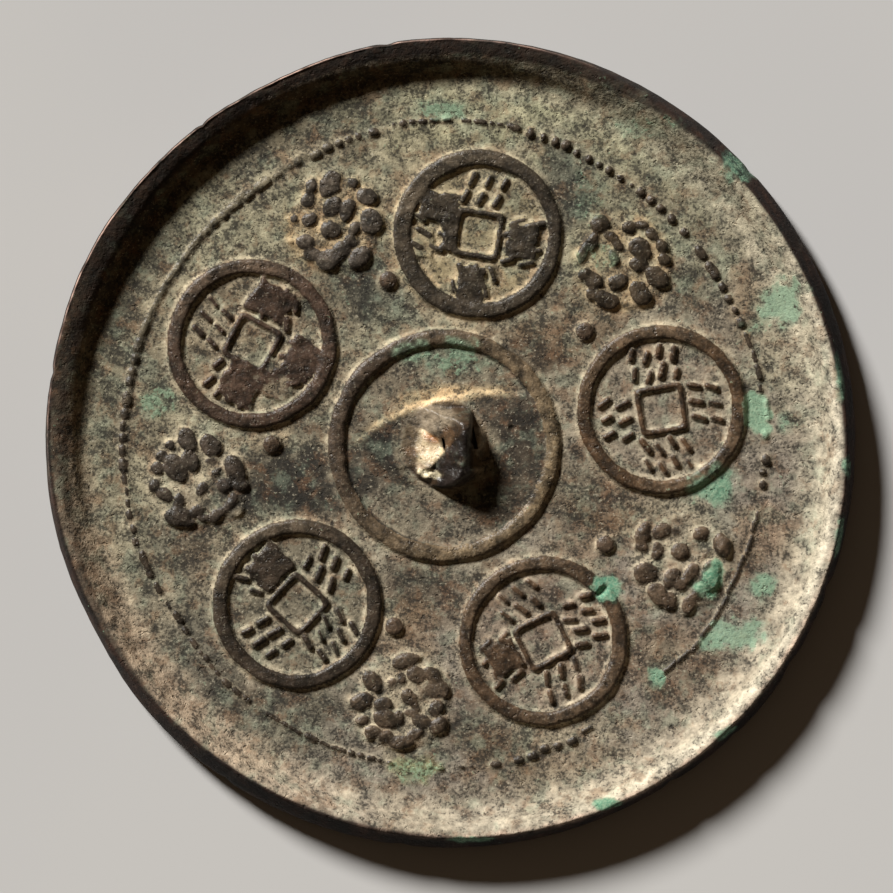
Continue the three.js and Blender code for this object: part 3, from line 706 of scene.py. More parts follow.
def newPiece(name, mesh):
    # Any data block as an object of the scene
    piece = bpy.data.objects.new(name, mesh)
    bpy.context.scene.collection.objects.link(piece)
    return piece


points, polygons = castingMesh()
points[:, 0] = np.clip(points[:, 0], mirrorLow[0] / mm, mirrorHigh[0] / mm)
points[:, 1] = np.clip(points[:, 1], mirrorLow[1] / mm, mirrorHigh[1] / mm)
points[:, 2] = np.clip(points[:, 2], 0, mirrorHigh[2] / mm)
casting = newPiece("mirror_casting", meshFromArrays("mirror_casting", points, polygons))
print("casting:", sum(len(p) * (p.shape[1] - 2) for p in polygons), "triangles")


def cordHoleCutter():
    # A tube through the knob along its turn: an upright oval carried from side to side
    along = np.linspace(-1, 1, 9)[:, None]
    around = np.linspace(0, 2 * math.pi, 24, endpoint=False)[None, :]
    flare = 1 + 0.06 * along**2
    a = knob["holeX"] + knob["holeReach"] / 2 * along + 0 * around
    b = knob["holeHalfWidth"] * flare * np.cos(around)
    z = plate["fieldHeight"] + knob["holeFloor"] + knob["holeHeight"] / 2 * (1 + flare * np.sin(around))
    turn = math.radians(knob["turn"])
    x = plate["patternX"] + a * math.cos(turn) - b * math.sin(turn)
    y = plate["patternY"] + knob["holeY"] + a * math.sin(turn) + b * math.cos(turn)
    tube = np.stack([x, y, z], -1).reshape(-1, 3)
    rows = np.arange(tube.shape[0]).reshape(9, 24)
    sides = [ringFaces(rows[k + 1], rows[k]) for k in range(8)]
    return tube, sides + [rows[0][None, :], rows[-1][None, ::-1]]


def boreHole(piece):
    # Takes the tube out of the piece once and for all, so no modifier stays on it
    cutter = newPiece("cord_hole", meshFromArrays("cord_hole", *cordHoleCutter()))
    cut = piece.modifiers.new("cord_hole", "BOOLEAN")
    cut.operation = "DIFFERENCE"
    cut.solver = "EXACT"
    cut.object = cutter
    bored = piece.evaluated_get(bpy.context.evaluated_depsgraph_get())
    mesh = bpy.data.meshes.new_from_object(bored)
    piece.modifiers.clear()
    piece.data = mesh
    bpy.data.objects.remove(cutter)


boreHole(casting)
casting.data.shade_smooth()
print("cord hole bored:", len(casting.data.polygons), "faces")

# What the burial left where, with some painted shadow along the upper left rim and at the tip of the knob's
# shadow, in mm from the middle of the mirror: x, y, half sizes, strength, colour
groundPatches = [
    (12, 50, 26, 6, 0.4, "#b4b192"), (49, 22, 6, 17, 0.35, "#b8ad94"), (-37, -34, 9, 7, 0.35, "#6c675b"),
    # painted shadow: darker where the rim's shadow falls on the upper left
    (-50, 19, 2.5, 3.5, 0.7, "#3c3a30"), (-45, 25, 2.5, 2.5, 0.5, "#4a463a"),
    (-38, -20, 2.5, 13, 0.5, "#5a4e40"), (-25, 11, 3, 4, 0.5, "#514a3e"), (13, -24, 4, 2.5, 0.7, "#4a3f35"),
    (6, -33, 3, 3, 0.6, "#5a4a3b"), (-18, -39, 3, 2.5, 0.6, "#544a3e"), (33, 11, 2.5, 2, 0.6, "#54493c"),
    (35, 22, 3, 3, 0.5, "#5c5343"), (17, 21, 3, 3, 0.5, "#5c5040"), (25, -10, 4, 5, 0.45, "#6a563f"),
    (22, -50, 14, 4, 0.4, "#8a7c66"), (-35, -36, 5, 5, 0.4, "#6a5d4d"), (2, 32, 2.5, 2, 0.5, "#b0a384"),
    (17, -32, 3, 3, 0.5, "#b5a68a"), (-7, -46, 3, 3, 0.5, "#b0a286"), (28, 47, 14, 6, 0.3, "#b3ab91"),
    (30, 38, 20, 12, 0.4, "#7d8468"), (-27, 33, 18, 12, 0.35, "#6f705c"), (0, 47, 14, 5, 0.35, "#8d8c6c"),
    (12, 12.5, 5, 4, 0.7, "#5b4b3a"), (18, 16.5, 6, 4, 0.55, "#765a40"), (20, -7, 5, 6, 0.7, "#5a493a"),
    (26, -6, 5, 4, 0.5, "#6c5642"), (20, -14, 6, 5, 0.4, "#866a4c"), (-4, -22, 9, 4.5, 0.65, "#57493b"),
    (-7, -28, 4, 5, 0.4, "#86694a"), (31, -32, 7, 5, 0.65, "#6a5440"), (46.5, -13, 4.5, 5, 0.45, "#8f6f50"),
    (44.5, 21.5, 3.5, 5, 0.4, "#8c7152"), (-26, 0.5, 3, 3, 0.4, "#8a6c4c"),
    (12, -46, 12, 5, 0.4, "#8a7256"), (0, -43.5, 8, 4, 0.65, "#554b3d"), (9, -46, 6, 4, 0.6, "#584b3b"),
    (-19, -29, 4, 6, 0.4, "#4e483d"), (-23, -6, 8, 5, 0.95, "#2c2924"), (-15, -7, 4, 4, 0.7, "#3a3c39"),
    (-33, -8, 4, 4, 0.8, "#33322d"), (17.5, 39, 4, 6, 0.6, "#4b4f48"), (-11, 23, 5, 5, 0.75, "#44463f"),
    # the last two on this line are painted shadow at the edge of the rim's shadow
    (-16, 26, 4, 4, 0.6, "#484940"), (-14, 48, 7, 4.5, 0.6, "#4f4d42"), (-24, 46, 5, 3.5, 0.5, "#544f42"),
    # the first two on this line are painted shadow from the rim
    (-49, 17, 3.5, 12, 0.6, "#3c3a30"), (-43, 32, 4, 7, 0.6, "#3e3b31"), (-50, 1, 4, 9, 0.5, "#4c4a3e"),
    (-43.5, -17, 4, 7, 0.6, "#4a4a40"), (-22, -41, 12, 6, 0.4, "#4d4d43"), (-20, 14, 4, 5, 0.4, "#4f4d44"),
    (23.5, 22.5, 4, 4, 0.5, "#50503f"), (36.5, 22, 4, 4, 0.55, "#4f4c3e"), (14, 28, 4, 8, 0.3, "#58584b"),
    # (8, -10) is painted shadow at the tip of the knob's shadow
    (44, 9, 4, 8, 0.3, "#6b6250"), (8, 5, 5, 5, 0.5, "#4b4437"), (8, -10, 4, 3.5, 0.6, "#3f3629"),
    (-17, 5, 3, 6, 0.45, "#4c473c"), (20, 28, 3.5, 3.5, 0.6, "#a6a288"), (29.5, -13, 4, 5, 0.6, "#b0a58c"),
    (17, -42, 9, 2, 0.5, "#b1a78f"), (-5, -36, 4, 4, 0.4, "#9d9277"), (34, -9.5, 6, 2, 0.5, "#b0a48a"),
    # (-33, 43) is painted shadow from the rim on olive-dark ground
    (-40, 5, 3, 5, 0.4, "#9a917a"), (-18, 36, 4, 5, 0.2, "#8f8a78"), (-33, 43, 6, 3.5, 0.7, "#45443a"),
    (50, 12, 4, 6, 0.35, "#b2a98f"), (28, 46, 6, 3, 0.35, "#a9a184"), (-38, -33, 8, 5, 0.3, "#6e6f5f"),
    (-33, -45, 9, 5, 0.3, "#6e6d5c"), (48, 36, 3, 6, 0.4, "#aaa387"),
]
# Darker metal showing through the earth
darkPatches = [
    (-36, -33, 5, 8, 0.5, "#4a4841"), (-28, -42, 8, 3, 0.4, "#565146"), (40, -36, 7, 5, 0.3, "#6f604e"),
    (2, -38, 4, 4, 0.4, "#574a3c"), (22, 33, 2.5, 4, 0.35, "#5a5a4c"),
    (-23, -5.5, 7.5, 4.5, 0.75, "#2b2823"), (-33, -8, 3.5, 2.5, 0.7, "#2c2a26"),
    (-21, 2.5, 3, 2, 0.6, "#2c2a26"), (-12, 24.5, 2.5, 5, 0.6, "#33332d"),
    (-15.5, 27, 2.5, 3, 0.55, "#363630"), (12, 13, 4.5, 3, 0.6, "#43362a"), (37, -23, 3, 3, 0.5, "#3c332a"),
    (6, -33, 3, 4, 0.5, "#46382c"), (13, -23, 4, 2, 0.6, "#3e342a"), (-12, -3, 4.5, 4.5, 0.6, "#24211d"),
    (9, 1, 3, 4.5, 0.55, "#2f2922"), (17, -11, 4, 3, 0.45, "#4b3d2f"), (-39, -13, 3, 5, 0.5, "#453b31"),
    (17.5, 38, 3, 5, 0.5, "#3d4039"), (24, 16, 4, 2.5, 0.45, "#4f4233"), (-27, -38, 6, 3, 0.5, "#4c4236"),
    (-4, -21, 6, 2.5, 0.5, "#43382d"), (30, -12, 3, 2.5, 0.45, "#4a3c2f"),
    (-44, 8, 2.5, 9, 0.45, "#4c463a"), (-20, 22, 2.5, 4, 0.45, "#45443a"),
    (44, -18, 2.5, 4, 0.4, "#5a4632"),
]

greenSpots = [
    (23.2, -21.8, 1.5, 1.5, 1.0, "#6fa58a"), (38.7, -7.1, 2.6, 1.9, 0.9, "#7fa68c"),
    (45.4, 4.1, 1.6, 2.6, 0.9, "#9dbda0"), (42.1, -28.8, 4, 2.2, 0.85, "#a3bda6"),
    (38.6, -29.6, 2, 1.6, 0.7, "#9ab79d"), (30.1, -34.8, 1.0, 1.0, 0.9, "#86b095"),
    (46.4, -21.1, 1.3, 1.3, 0.8, "#93b49a"), (49, 20, 3.4, 3.4, 0.75, "#a3bda3"),
    (46.5, 17.5, 2.6, 1.2, 0.4, "#86a088"), (43.3, 41.2, 2.2, 2.6, 0.55, "#6f9480"),
    (59.2, -3.6, 1.2, 1.4, 0.6, "#5f8a76"), (58.4, -14.4, 1.3, 2.4, 0.6, "#5f8a76"),
    (23.6, -53.4, 1.8, 0.8, 0.9, "#5d9478"), (2.9, -59.1, 3.2, 0.8, 0.8, "#6d9a80"),
    (41, -43.4, 2, 1.1, 0.7, "#6f9c83"), (0.5, 12.6, 4, 2.4, 0.5, "#74907a"),
    (-5, 13.4, 2.4, 1.6, 0.4, "#74907a"), (-43.7, 5.6, 2.4, 2, 0.45, "#728a72"),
    (-1.6, 49.4, 3.4, 1.2, 0.55, "#7f9e86"), (38.9, -20, 1.2, 1.9, 0.9, "#5f9477"),
    (37.2, -21.4, 1, 1, 0.7, "#5f9477"), (40.2, -6, 1.3, 3.2, 0.5, "#6a967c"),
    (50, 3, 1.1, 1.1, 0.5, "#86a68e"), (-5.5, -48.4, 3, 1.4, 0.5, "#8f9c68"),
    (46.8, 44, 1, 2.6, 0.6, "#6f9c83"), (39, -21.2, 1.1, 1.6, 0.8, "#5f9477"),
    (22, 27.4, 2.6, 2, 0.35, "#6b8169"), (20.5, 36, 2.6, 4, 0.3, "#6b8169"),
    (27, 46.6, 5, 1.6, 0.35, "#7f9e86"), (57.6, 9.5, 0.8, 3, 0.35, "#6f9c83"),
]
# Earth tones of the field; the shade side tone is painted shade
earth = {
    "field": "#a0987f", "shadeSide": "#887f73", "hollow": "#b2a58c", "orange": "#b08a52", "pale": "#c8bda3",
}
# Tones of the rim's slope; the cream, the sheen and the lower left tone are painted light, the upper left
# tone is painted shade
slopeTones = {
    "lit": "#b8af99", "sheen": "#e0d6c1", "upperLeftShade": "#46361f", "lowerLeft": "#bda78f",
    "lowRight": "#8e8273",
}
# Tones of the rim's top and edge; the pink worn edge is painted brighter towards the light, and the pale
# crest tone is a painted highlight
edgeTones = {"dark": "#1a130f", "brown": "#3f2a1f", "crestGlint": "#cdb39f", "pink": "#c9a595", "grey": "#6b6358"}
# Tones of the tops; the lit coin and lit ring tones are painted light
topTones = {
    "plain": "#4a3c30", "coinLit": "#8d7e69", "ring": "#473b31", "ringLit": "#76664f", "bead": "#3c332a",
    "beadPale": "#716a58",
}
fieldTones = {"brown": "#6b5c49", "grey": "#8b9079", "beadHollowDark": "#4a463b"}
# Tones of the bed; the ledge and above-knob tones are pale earth with painted light
bedTones = {
    "all": "#6c6253", "raised": "#5a4f42", "west": "#2a2722", "east": "#3b332a", "ledge": "#c0a983",
    "aboveKnob": "#d2b58b",
}
# Tones of the knob; the dark crescent, the orange under the mouth's lip and the mouth shade are painted shade
knobTones = {
    "strap": "#3f3022", "shadedCrescent": "#1f1815", "worn": "#5c4631", "mouth": "#c9b592", "flank": "#8f826f",
    "east": "#8a7b65", "ring": "#a29780", "mouthShade": "#a08c7e", "mouthLipShade": "#8a5527", "ledge": "#d8cba8",
}


def linear(hexColour):
    # sRGB hex to the linear colour that the shader works in
    channels = [int(hexColour[i:i + 2], 16) / 255 for i in (1, 3, 5)]
    return tuple(c / 12.92 if c <= 0.04045 else ((c + 0.055) / 1.055) ** 2.4 for c in channels) + (1,)


def paint(colour, share, hexColour):
    # Moves each point's colour towards the given one by its share
    share = np.clip(share, 0, 1)[:, None]
    colour[:] = colour * (1 - share) + np.array(linear(hexColour))[None, :] * share


def paintPatches(colour, x, y, spots, seed, ragged=0.7):
    # Oval patches, each fading outwards over an uneven edge
    shake = 1 + ragged * layeredNoise(x, y, 3.2, seed) + 0.4 * ragged * softNoise(x, y, 0.9, seed + 4)
    total = np.zeros_like(x)
    for sx, sy, halfX, halfY, strength, hexColour in spots:
        away = np.hypot((x - sx) / halfX, (y - sy) / halfY)
        share = strength * np.clip(1.75 * shake - away**1.7 * 1.1, 0, 1)
        paint(colour, share, hexColour)
        total = np.maximum(total, share)
    return total


# Stretches of the rim with a look of their own: bearing and spread in degrees
rimZones = {
    "lowRight": (-48, 36), "lowerLeft": (208, 42), "sheen": (-24, 48), "upperLeftShade": (124, 58),
    "greyLip": (118, 62), "wideBandLeft": (164, 44), "wideBandTop": (80, 30), "bandTop": (96, 112),
    "bandLowerLeft": (226, 40), "edgeLowRight": (312, 40), "wornEdgeHighlight": (134, 60), "litCrest": (305, 42),
}


def paintRim(ground, x, y, outX, outY, fromCrest, bearing):
    # Painted light and shade: cream on the slope where it faces the light, a painted sheen and a paler lower
    # left; dark brown painted shade on the upper left; a dark band along the top, worn metal at its edge
    # painted brighter towards the light, and a painted highlight on the lit crest
    radius = np.hypot(x, y)
    zone = {name: aroundBearing(bearing, *reach) for name, reach in rimZones.items()}
    slope = np.clip((fromCrest + 8.2) / 4, 0, 1)
    # painted light: cream on the slope, strongest where it faces the light
    litShare = np.clip(0.5 + 0.6 * np.cos(np.radians(bearing + 8)), 0, 1)
    paint(ground, 0.75 * slope * litShare, slopeTones["lit"])
    lowRight = slope * zone["lowRight"] * slopeUp(fromCrest + 2, 1.5)
    paint(ground, 0.45 * lowRight, slopeTones["lowRight"])
    # painted light: the lower left slope, which faces away from the light, painted paler as if lit
    lowerLeft = np.clip((fromCrest + 7) / 4, 0, 1) * zone["lowerLeft"]
    paint(ground, 0.75 * lowerLeft, slopeTones["lowerLeft"])
    # painted sheen: pale cream high on the slope at the lower right, where it faces the light
    sheen = slopeUp(-1.7 - fromCrest, 1.4) * zone["sheen"]
    paint(ground, 0.5 * sheen, slopeTones["sheen"])
    # painted shade: dark brown over the upper left slope, where the rim's shadow falls
    upperLeftShade = np.clip((fromCrest + 6.6) / 1.5, 0, 1) * zone["upperLeftShade"]
    paint(ground, 0.9 * upperLeftShade, slopeTones["upperLeftShade"])
    crumbs = 0.65 + 0.9 * layeredNoise(x, y, 1.0, 131) + 0.4 * layeredNoise(x, y, 4, 132)
    lip = zone["greyLip"] * slopeUp(np.abs(radius - 57.1) - 1.0, 0.8)
    paint(ground, 0.6 * lip * crumbs, edgeTones["grey"])
    ragged = 0.3 * layeredNoise(outX, outY, 1.8, 134)
    inner = 57.7 - 1.1 * zone["wideBandLeft"] - 0.5 * zone["wideBandTop"]
    band = slopeUp(inner - radius + ragged, 0.9)
    band *= np.maximum(zone["bandTop"], 0.9 * zone["bandLowerLeft"])
    paint(ground, 0.94 * band, edgeTones["dark"])
    paint(ground, 0.5 * band * np.clip(0.3 + layeredNoise(outX, outY, 0.9, 136), 0, 1), edgeTones["brown"])
    edge = slopeUp(-0.12 - fromCrest + 0.5 * zone["edgeLowRight"], 0.35)
    paint(ground, edge, edgeTones["dark"])
    paint(ground, 0.75 * edge * np.clip(0.35 + layeredNoise(outX, outY, 3.1, 135), 0, 1), edgeTones["brown"])
    broken = 0.55 + 1.1 * layeredNoise(outX, outY, 1.5, 137) + 0.4 * layeredNoise(outX, outY, 8, 138)
    broken = np.clip(broken, 0, 1)
    # worn metal at the edge with a painted highlight: brightest on the side towards the light
    bright = 0.2 + 0.8 * zone["wornEdgeHighlight"]
    fromEdge = radius - edgeRadiusAt(bearing)
    onTop = slopeUp(np.hypot(outX, outY) - radius - 0.8, 0.5)
    worn = slopeUp(-0.5 - fromEdge, 0.3) * broken * bright * onTop
    paint(ground, 0.95 * worn, edgeTones["pink"])
    # painted highlight: a glint along the crest at the lower right, where it faces the light, in the tone of
    # worn metal
    lit = zone["litCrest"] * np.exp(-(((fromCrest - 0.05) / 0.4) ** 2))
    paint(ground, 0.9 * lit * np.clip(0.7 + layeredNoise(x, y, 1.6, 139), 0, 1), edgeTones["crestGlint"])
    return np.maximum(edge, band), worn


def paintKnob(ground, px, py):
    # Dark and smooth from handling, with painted shade on its south wall and under the lip of its west mouth,
    # earth in its west mouth and crumbs on its north flank
    rough = layeredNoise(px, py, 0.9, 141)
    px, py = px - knob["shiftX"], py - knob["shiftY"]
    away = np.hypot(px - knob["x"], py - knob["y"])
    inside = slopeUp(away - 6.45, 0.4)
    ring = slopeUp(np.abs(away - 7.2) - 0.7 + 0.3 * rough, 0.9) * slopeUp(py - 3, 2)
    paint(ground, 0.55 * ring, knobTones["ring"])
    paint(ground, inside, knobTones["strap"])
    flank = slopeUp(ovalDistance(px, py, -1.8, 4.4, 3.6, 2.6, 0) - 0.9 + 0.25 * rough, 0.5)
    paint(ground, inside * flank * (0.8 + 0.4 * rough), knobTones["flank"])
    strapSide = np.interp(py, knob["strapY"], knob["strapX"])
    mouth = inside * slopeUp(px - strapSide - 0.1, 0.4) * slopeUp(-3.0 - py + 0.3 * rough, 0.6)
    mouth *= 0.15 + 0.85 * slopeUp(-4 - px + 0.6 * rough, 1.2)
    paint(ground, mouth, knobTones["mouth"])
    paint(ground, 0.5 * mouth * slopeUp(py + 2, 0.8), knobTones["mouthShade"])
    # painted shade: dark orange in the north of the west mouth, where its lip casts shadow
    mouthLipShade = slopeUp(ovalDistance(px, py, -1.9, 1.5, 1.7, 0.9, -20) - 0.8, 1)
    paint(ground, 0.85 * mouth * mouthLipShade, knobTones["mouthLipShade"])
    paint(ground, inside * slopeUp(4.2 - px, 0.6), knobTones["east"])
    patch = slopeUp(ovalDistance(px, py, 0.4, 1.7, 1.1, 1.6, 0) - 1, 0.5)
    paint(ground, inside * patch, knobTones["worn"])
    beyond = pastRidge(px, py) + 0.15 * rough
    onStrap = slopeUp(strapSide - px, 0.5)
    shaded = inside * slopeUp(-beyond, 0.4) * slopeUp(px - 3.9, 0.3) * onStrap
    paint(ground, shaded, knobTones["shadedCrescent"])
    # painted shade: near black on the knob's south wall, which stands in its own shadow
    shadedCrescent = slopeUp(py + 3.4, 0.5) * slopeUp(-1.2 - px, 0.8) * slopeUp(px - 4.6, 0.8)
    paint(ground, inside * shadedCrescent, knobTones["shadedCrescent"])
    foot = slopeUp(ovalDistance(px, py, -2.4, -3.75, 1.9, 0.7, -8) - 0.9 + 0.3 * rough, 0.3)
    paint(ground, 0.9 * inside * foot * slopeUp(px + 0.6, 0.5), knobTones["ledge"])


def paintField(ground, x, y, form):
    # Painted shade darker towards the lower right, stains by place with some painted shadow among them,
    # uneven blotches, and paler earth where the ground is hollow or climbs a flank
    # painted shade: the whole field darker towards the lower right, away from the light
    paint(ground, 0.5 + (x - 1.2 * y) / 90, earth["shadeSide"])
    # stain: the share of these patches, stains and painted shadow alike
    stain = paintPatches(ground, x, y, groundPatches, 143)
    blotch = layeredNoise(x, y, 7, 147)
    paint(ground, 0.7 * np.clip(blotch, 0, 1), fieldTones["brown"])
    paint(ground, 0.4 * np.clip(-blotch, 0, 1), fieldTones["grey"])
    pale = 0.7 * np.maximum(form["hollow"], form["flank"]) * form["crumble"] + 0.12 * form["wide"]
    paint(ground, pale, earth["hollow"])
    return stain


def paintCoins(ground, skin, x, y, form):
    # Each coin in its own tones with painted light on its tops where they face the light, earth in its
    # hollows, and orange earth in and around the first
    for index, (distance, place, topColour, groundColour) in enumerate(coins):
        cx, cy = patternPoint(distance, place)
        away = np.hypot(x - cx, y - cy)
        inside = slopeUp(away - coin["inner"] + 0.2, 1)
        onCoin = slopeUp(away - 13.4, 0.6)
        paint(ground, 0.85 * inside, groundColour)
        paint(ground, 0.75 * inside * form["hollow"] * form["crumble"], earth["pale"])
        paint(skin, onCoin, topColour)
        around = np.degrees(np.arctan2(y - cy, x - cx))
        # painted light: each coin's tops lighter on the side towards the light, and two coins also on their
        # lower right, where the inner flank faces the light
        lit = aroundBearing(around, 118, 55)
        if index in (1, 2):
            lit = lit + 0.8 * aroundBearing(around, -55, 50)
        paint(skin, 0.15 * lit * onCoin * slopeUp(10 - away, 0.6), topTones["coinLit"])
    cx, cy = patternPoint(*coins[0][:2])
    orange = slopeUp(np.hypot(x - cx, y - cy) - 14.4, 3)
    orange *= np.clip(0.5 - (x - cx + 0.5 * (y - cy)) / 16, 0, 1)
    orange = np.maximum(orange, slopeUp(np.hypot(x - cx - 5, y - cy + 6) - 4, 4))
    paint(ground, 0.42 * orange * np.maximum(form["hollow"], 0.3) * form["crumble"], earth["orange"])


def paintRosettes(ground, skin, x, y, form):
    # Dark petals, on warm earth in the two upper rosettes and on pale earth in the others
    for index, (distance, place, topColour, _) in enumerate(rosettes):
        cx, cy = patternPoint(distance, place)
        away = np.hypot(x - cx, y - cy)
        paint(skin, slopeUp(away - 9, 0.8), topColour)
        share, soil = (0.45, earth["orange"]) if index < 2 else (0.3, earth["hollow"])
        paint(ground, share * slopeUp(away - 7.6, 2) * form["crumble"], soil)


def paintCentre(ground, skin, px, py, form):
    # The ring, painted lighter on its lower right where it faces the light, and the dark bed inside it with
    # pale earth and painted light along its upper edge
    fromPattern = np.hypot(px, py)
    ringBand = slopeUp(np.abs(fromPattern - centreRing["middle"]) - 2.2, 0.6)
    # painted light: the ring lighter on its lower right, where its inner flank faces the light
    lightSide = 0.5 + 0.5 * np.cos(np.radians(np.degrees(np.arctan2(py, px)) + 30))
    paint(skin, ringBand, topTones["ring"])
    paint(skin, 0.9 * ringBand * lightSide * (0.7 + 0.6 * form["crumble"]), topTones["ringLit"])
    inside = slopeUp(fromPattern - 15.2, 0.8)
    paint(ground, 0.65 * inside, bedTones["all"])
    bed = inside * np.clip(form["proud"] / 0.4, 0, 1) * (1 - form["knob"])
    x, y = px + plate["patternX"], py + plate["patternY"]
    paint(ground, 0.6 * bed * (0.8 + 0.5 * softNoise(x, y, 4, 155)), bedTones["raised"])
    paint(ground, 0.95 * bed * slopeUp(px + 4.5, 5), bedTones["west"])
    paint(ground, 0.75 * bed * slopeUp(4 - px, 4), bedTones["east"])
    upper = bowedEdge(corePrint["tip"], corePrint["upperBow"], corePrint["upperEnd"], px)
    # pale earth and painted light along the bed's upper edge, the step that faces the light
    ledge = np.exp(-(((py - upper - 0.1) / 0.75) ** 2)) * slopeUp(px - 10, 3) * slopeUp(-13.5 - px, 2)
    paint(ground, inside * ledge * (0.75 + 0.4 * layeredNoise(x, y, 2, 156)), bedTones["ledge"])
    # pale earth and painted light in a broad band above the knob, on the same lit edge
    above = slopeUp(ovalDistance(px, py, -1.2, 7.2, 5.5, 1.4, 8) - 1, 0.7)
    paint(ground, 0.9 * above * inside * (0.8 + 0.4 * form["crumble"]), bedTones["aboveKnob"])


def paintBeads(ground, skin, fromPattern, bearing, hollow):
    # Dark beads, paler at the upper left, and darker in the hollows of the bead line
    beadBand = slopeUp(np.abs(fromPattern - beadLine["radius"]) - 2, 0.5)
    paint(skin, beadBand, topTones["bead"])
    paint(skin, 0.75 * beadBand * aroundBearing(bearing, 140, 28), topTones["beadPale"])
    paint(ground, 0.3 * beadBand * hollow * 2, fieldTones["beadHollowDark"])


def patinaColours(x, y, z):
    # The colour of ground and of worn tops at each point, and how much of each finish it has
    px, py = x - plate["patternX"], y - plate["patternY"]
    radius, bearing = np.hypot(x, y), np.degrees(np.arctan2(y, x))
    fromPattern = np.hypot(px, py)
    fromCrest = radius - crestRadiusAt(bearing)
    inPattern = slopeUp(fromCrest + 6.2, 1)
    low = np.minimum(relief, 1.0)
    proud = readRaster(relief, x, y)
    form = {
        "proud": proud,
        "hollow": np.clip(readRaster(blurred(low, 0.5 / raster["cell"]) - low, x, y) / 0.2, 0, 1),
        "wide": np.clip(readRaster(blurred(low, 1.4 / raster["cell"]), x, y) / 0.35, 0, 1),
        "flank": np.clip(proud / 0.3, 0, 1) * inPattern,
        "crumble": 0.65 + 0.6 * layeredNoise(x, y, 2.3, 151),
        "knob": slopeUp(np.hypot(px - knob["x"], py - knob["y"]) - 6.6, 0.5),
    }
    ground = np.tile(np.array(linear(earth["field"])), (len(x), 1))
    skin = np.tile(np.array(linear(topTones["plain"])), (len(x), 1))
    # stain holds painted shadow as well as stains
    stain = paintField(ground, x, y, form)
    paintCoins(ground, skin, x, y, form)
    paintRosettes(ground, skin, x, y, form)
    paintBeads(ground, skin, fromPattern, bearing, form["hollow"])
    paintCentre(ground, skin, px, py, form)
    paintPatches(ground, x, y, darkPatches, 163)
    paintKnob(ground, px, py)
    # the side wall is unrolled outward, so that no colour runs down it in stripes
    drop = np.maximum(plate["fieldHeight"] + crestRiseAt(bearing) - z, 0)
    drop *= slopeUp(plate["crestRadius"] - radius, 0.4)
    stretch = 1 + drop / np.maximum(radius, 1)
    outX, outY = x * stretch, y * stretch
    edge, worn = paintRim(ground, x, y, outX, outY, fromCrest, bearing)
    green = paintPatches(ground, outX, outY, greenSpots, 157, 1.0)
    paintPatches(skin, outX, outY, greenSpots, 157, 1.0)

    tops = np.clip((readRaster(crown, x, y) - 0.48) / 0.24, 0, 1) * inPattern
    specks = 0.5 + 0.35 * layeredNoise(x, y, 2.6, 161) + 0.3 * stain
    specks -= 0.12 * np.clip((fromCrest + 8) / 4, 0, 1) + 0.2 * form["hollow"] + 0.4 * form["knob"]
    specks -= 0.2 * np.clip((fromCrest + 6) / 4, 0, 1) * aroundBearing(bearing, -28, 60)
    specks += 0.14 * aroundBearing(bearing, 170, 60) * np.clip(fromPattern / 40, 0, 1)
    back = slopeUp(1.0 - z, 0.6)
    paint(ground, 1 - back, edgeTones["dark"])
    return {
        "ground": ground,
        "skin": skin,
        "tops": tops * back * (1 - 0.85 * green),
        "specks": np.clip(specks, 0, 1) * (1 - 0.8 * edge) * back,
        "gloss": np.clip(np.maximum(0.2 * edge, 0.8 * form["knob"] * back) + worn, 0, 1),
        "green": green * back,
        "face": (z < 0.05) * 1.0,
    }


def addColours(piece):
    # Writes each as an attribute of the mesh, a colour or a single number per point
    mesh = piece.data
    flat = np.empty(3 * len(mesh.vertices), np.float32)
    mesh.vertices.foreach_get("co", flat)
    x, y, z = (flat.reshape(-1, 3).astype(float) / mm).T
    for name, values in patinaColours(x, y, z).items():
        if values.ndim == 2:
            layer = mesh.attributes.new(name, "FLOAT_COLOR", "POINT")
            layer.data.foreach_set("color", values.astype(np.float32).ravel())
        else:
            layer = mesh.attributes.new(name, "FLOAT", "POINT")
            layer.data.foreach_set("value", values.astype(np.float32))


addColours(casting)
print("patina colours written")


def addNode(tree, kind, settings=None, links=None):
    # A node with its values set by input name or property, and its inputs linked to other nodes' outputs
    node = tree.nodes.new(kind)
    for key, value in (settings or {}).items():
        if isinstance(key, int) or key in node.inputs:
            node.inputs[key].default_value = value
        else:
            setattr(node, key, value)
    for key, source in (links or {}).items():
        tree.links.new(source, node.inputs[key])
    return node


def newMaterial(name):
    # An empty node tree
    material = bpy.data.materials.new(name)
    material.use_nodes = True
    tree = material.node_tree
    tree.nodes.clear()
    return material, tree


# Tin bronze, sand cast and long buried; sizes in mm
patina = {
    "speckSize": 0.42, "grainSize": 0.95, "clusterSize": 2.4, "cloudSize": 5.5, "stainSize": 2.9,
    "bloomSize": 3.4, "pitSize": 1.1, "bump": 0.8, "bumpDepth": 0.2,
    "speck": "#2c2a26", "paleGrain": "#c9c1ab", "stain": "#6d5039", "bloom": "#7f8a78",
    "mint": "#b2c7a8", "verdigris": "#4c7a62", "face": "#3d4139", "facePale": "#585b50",
}


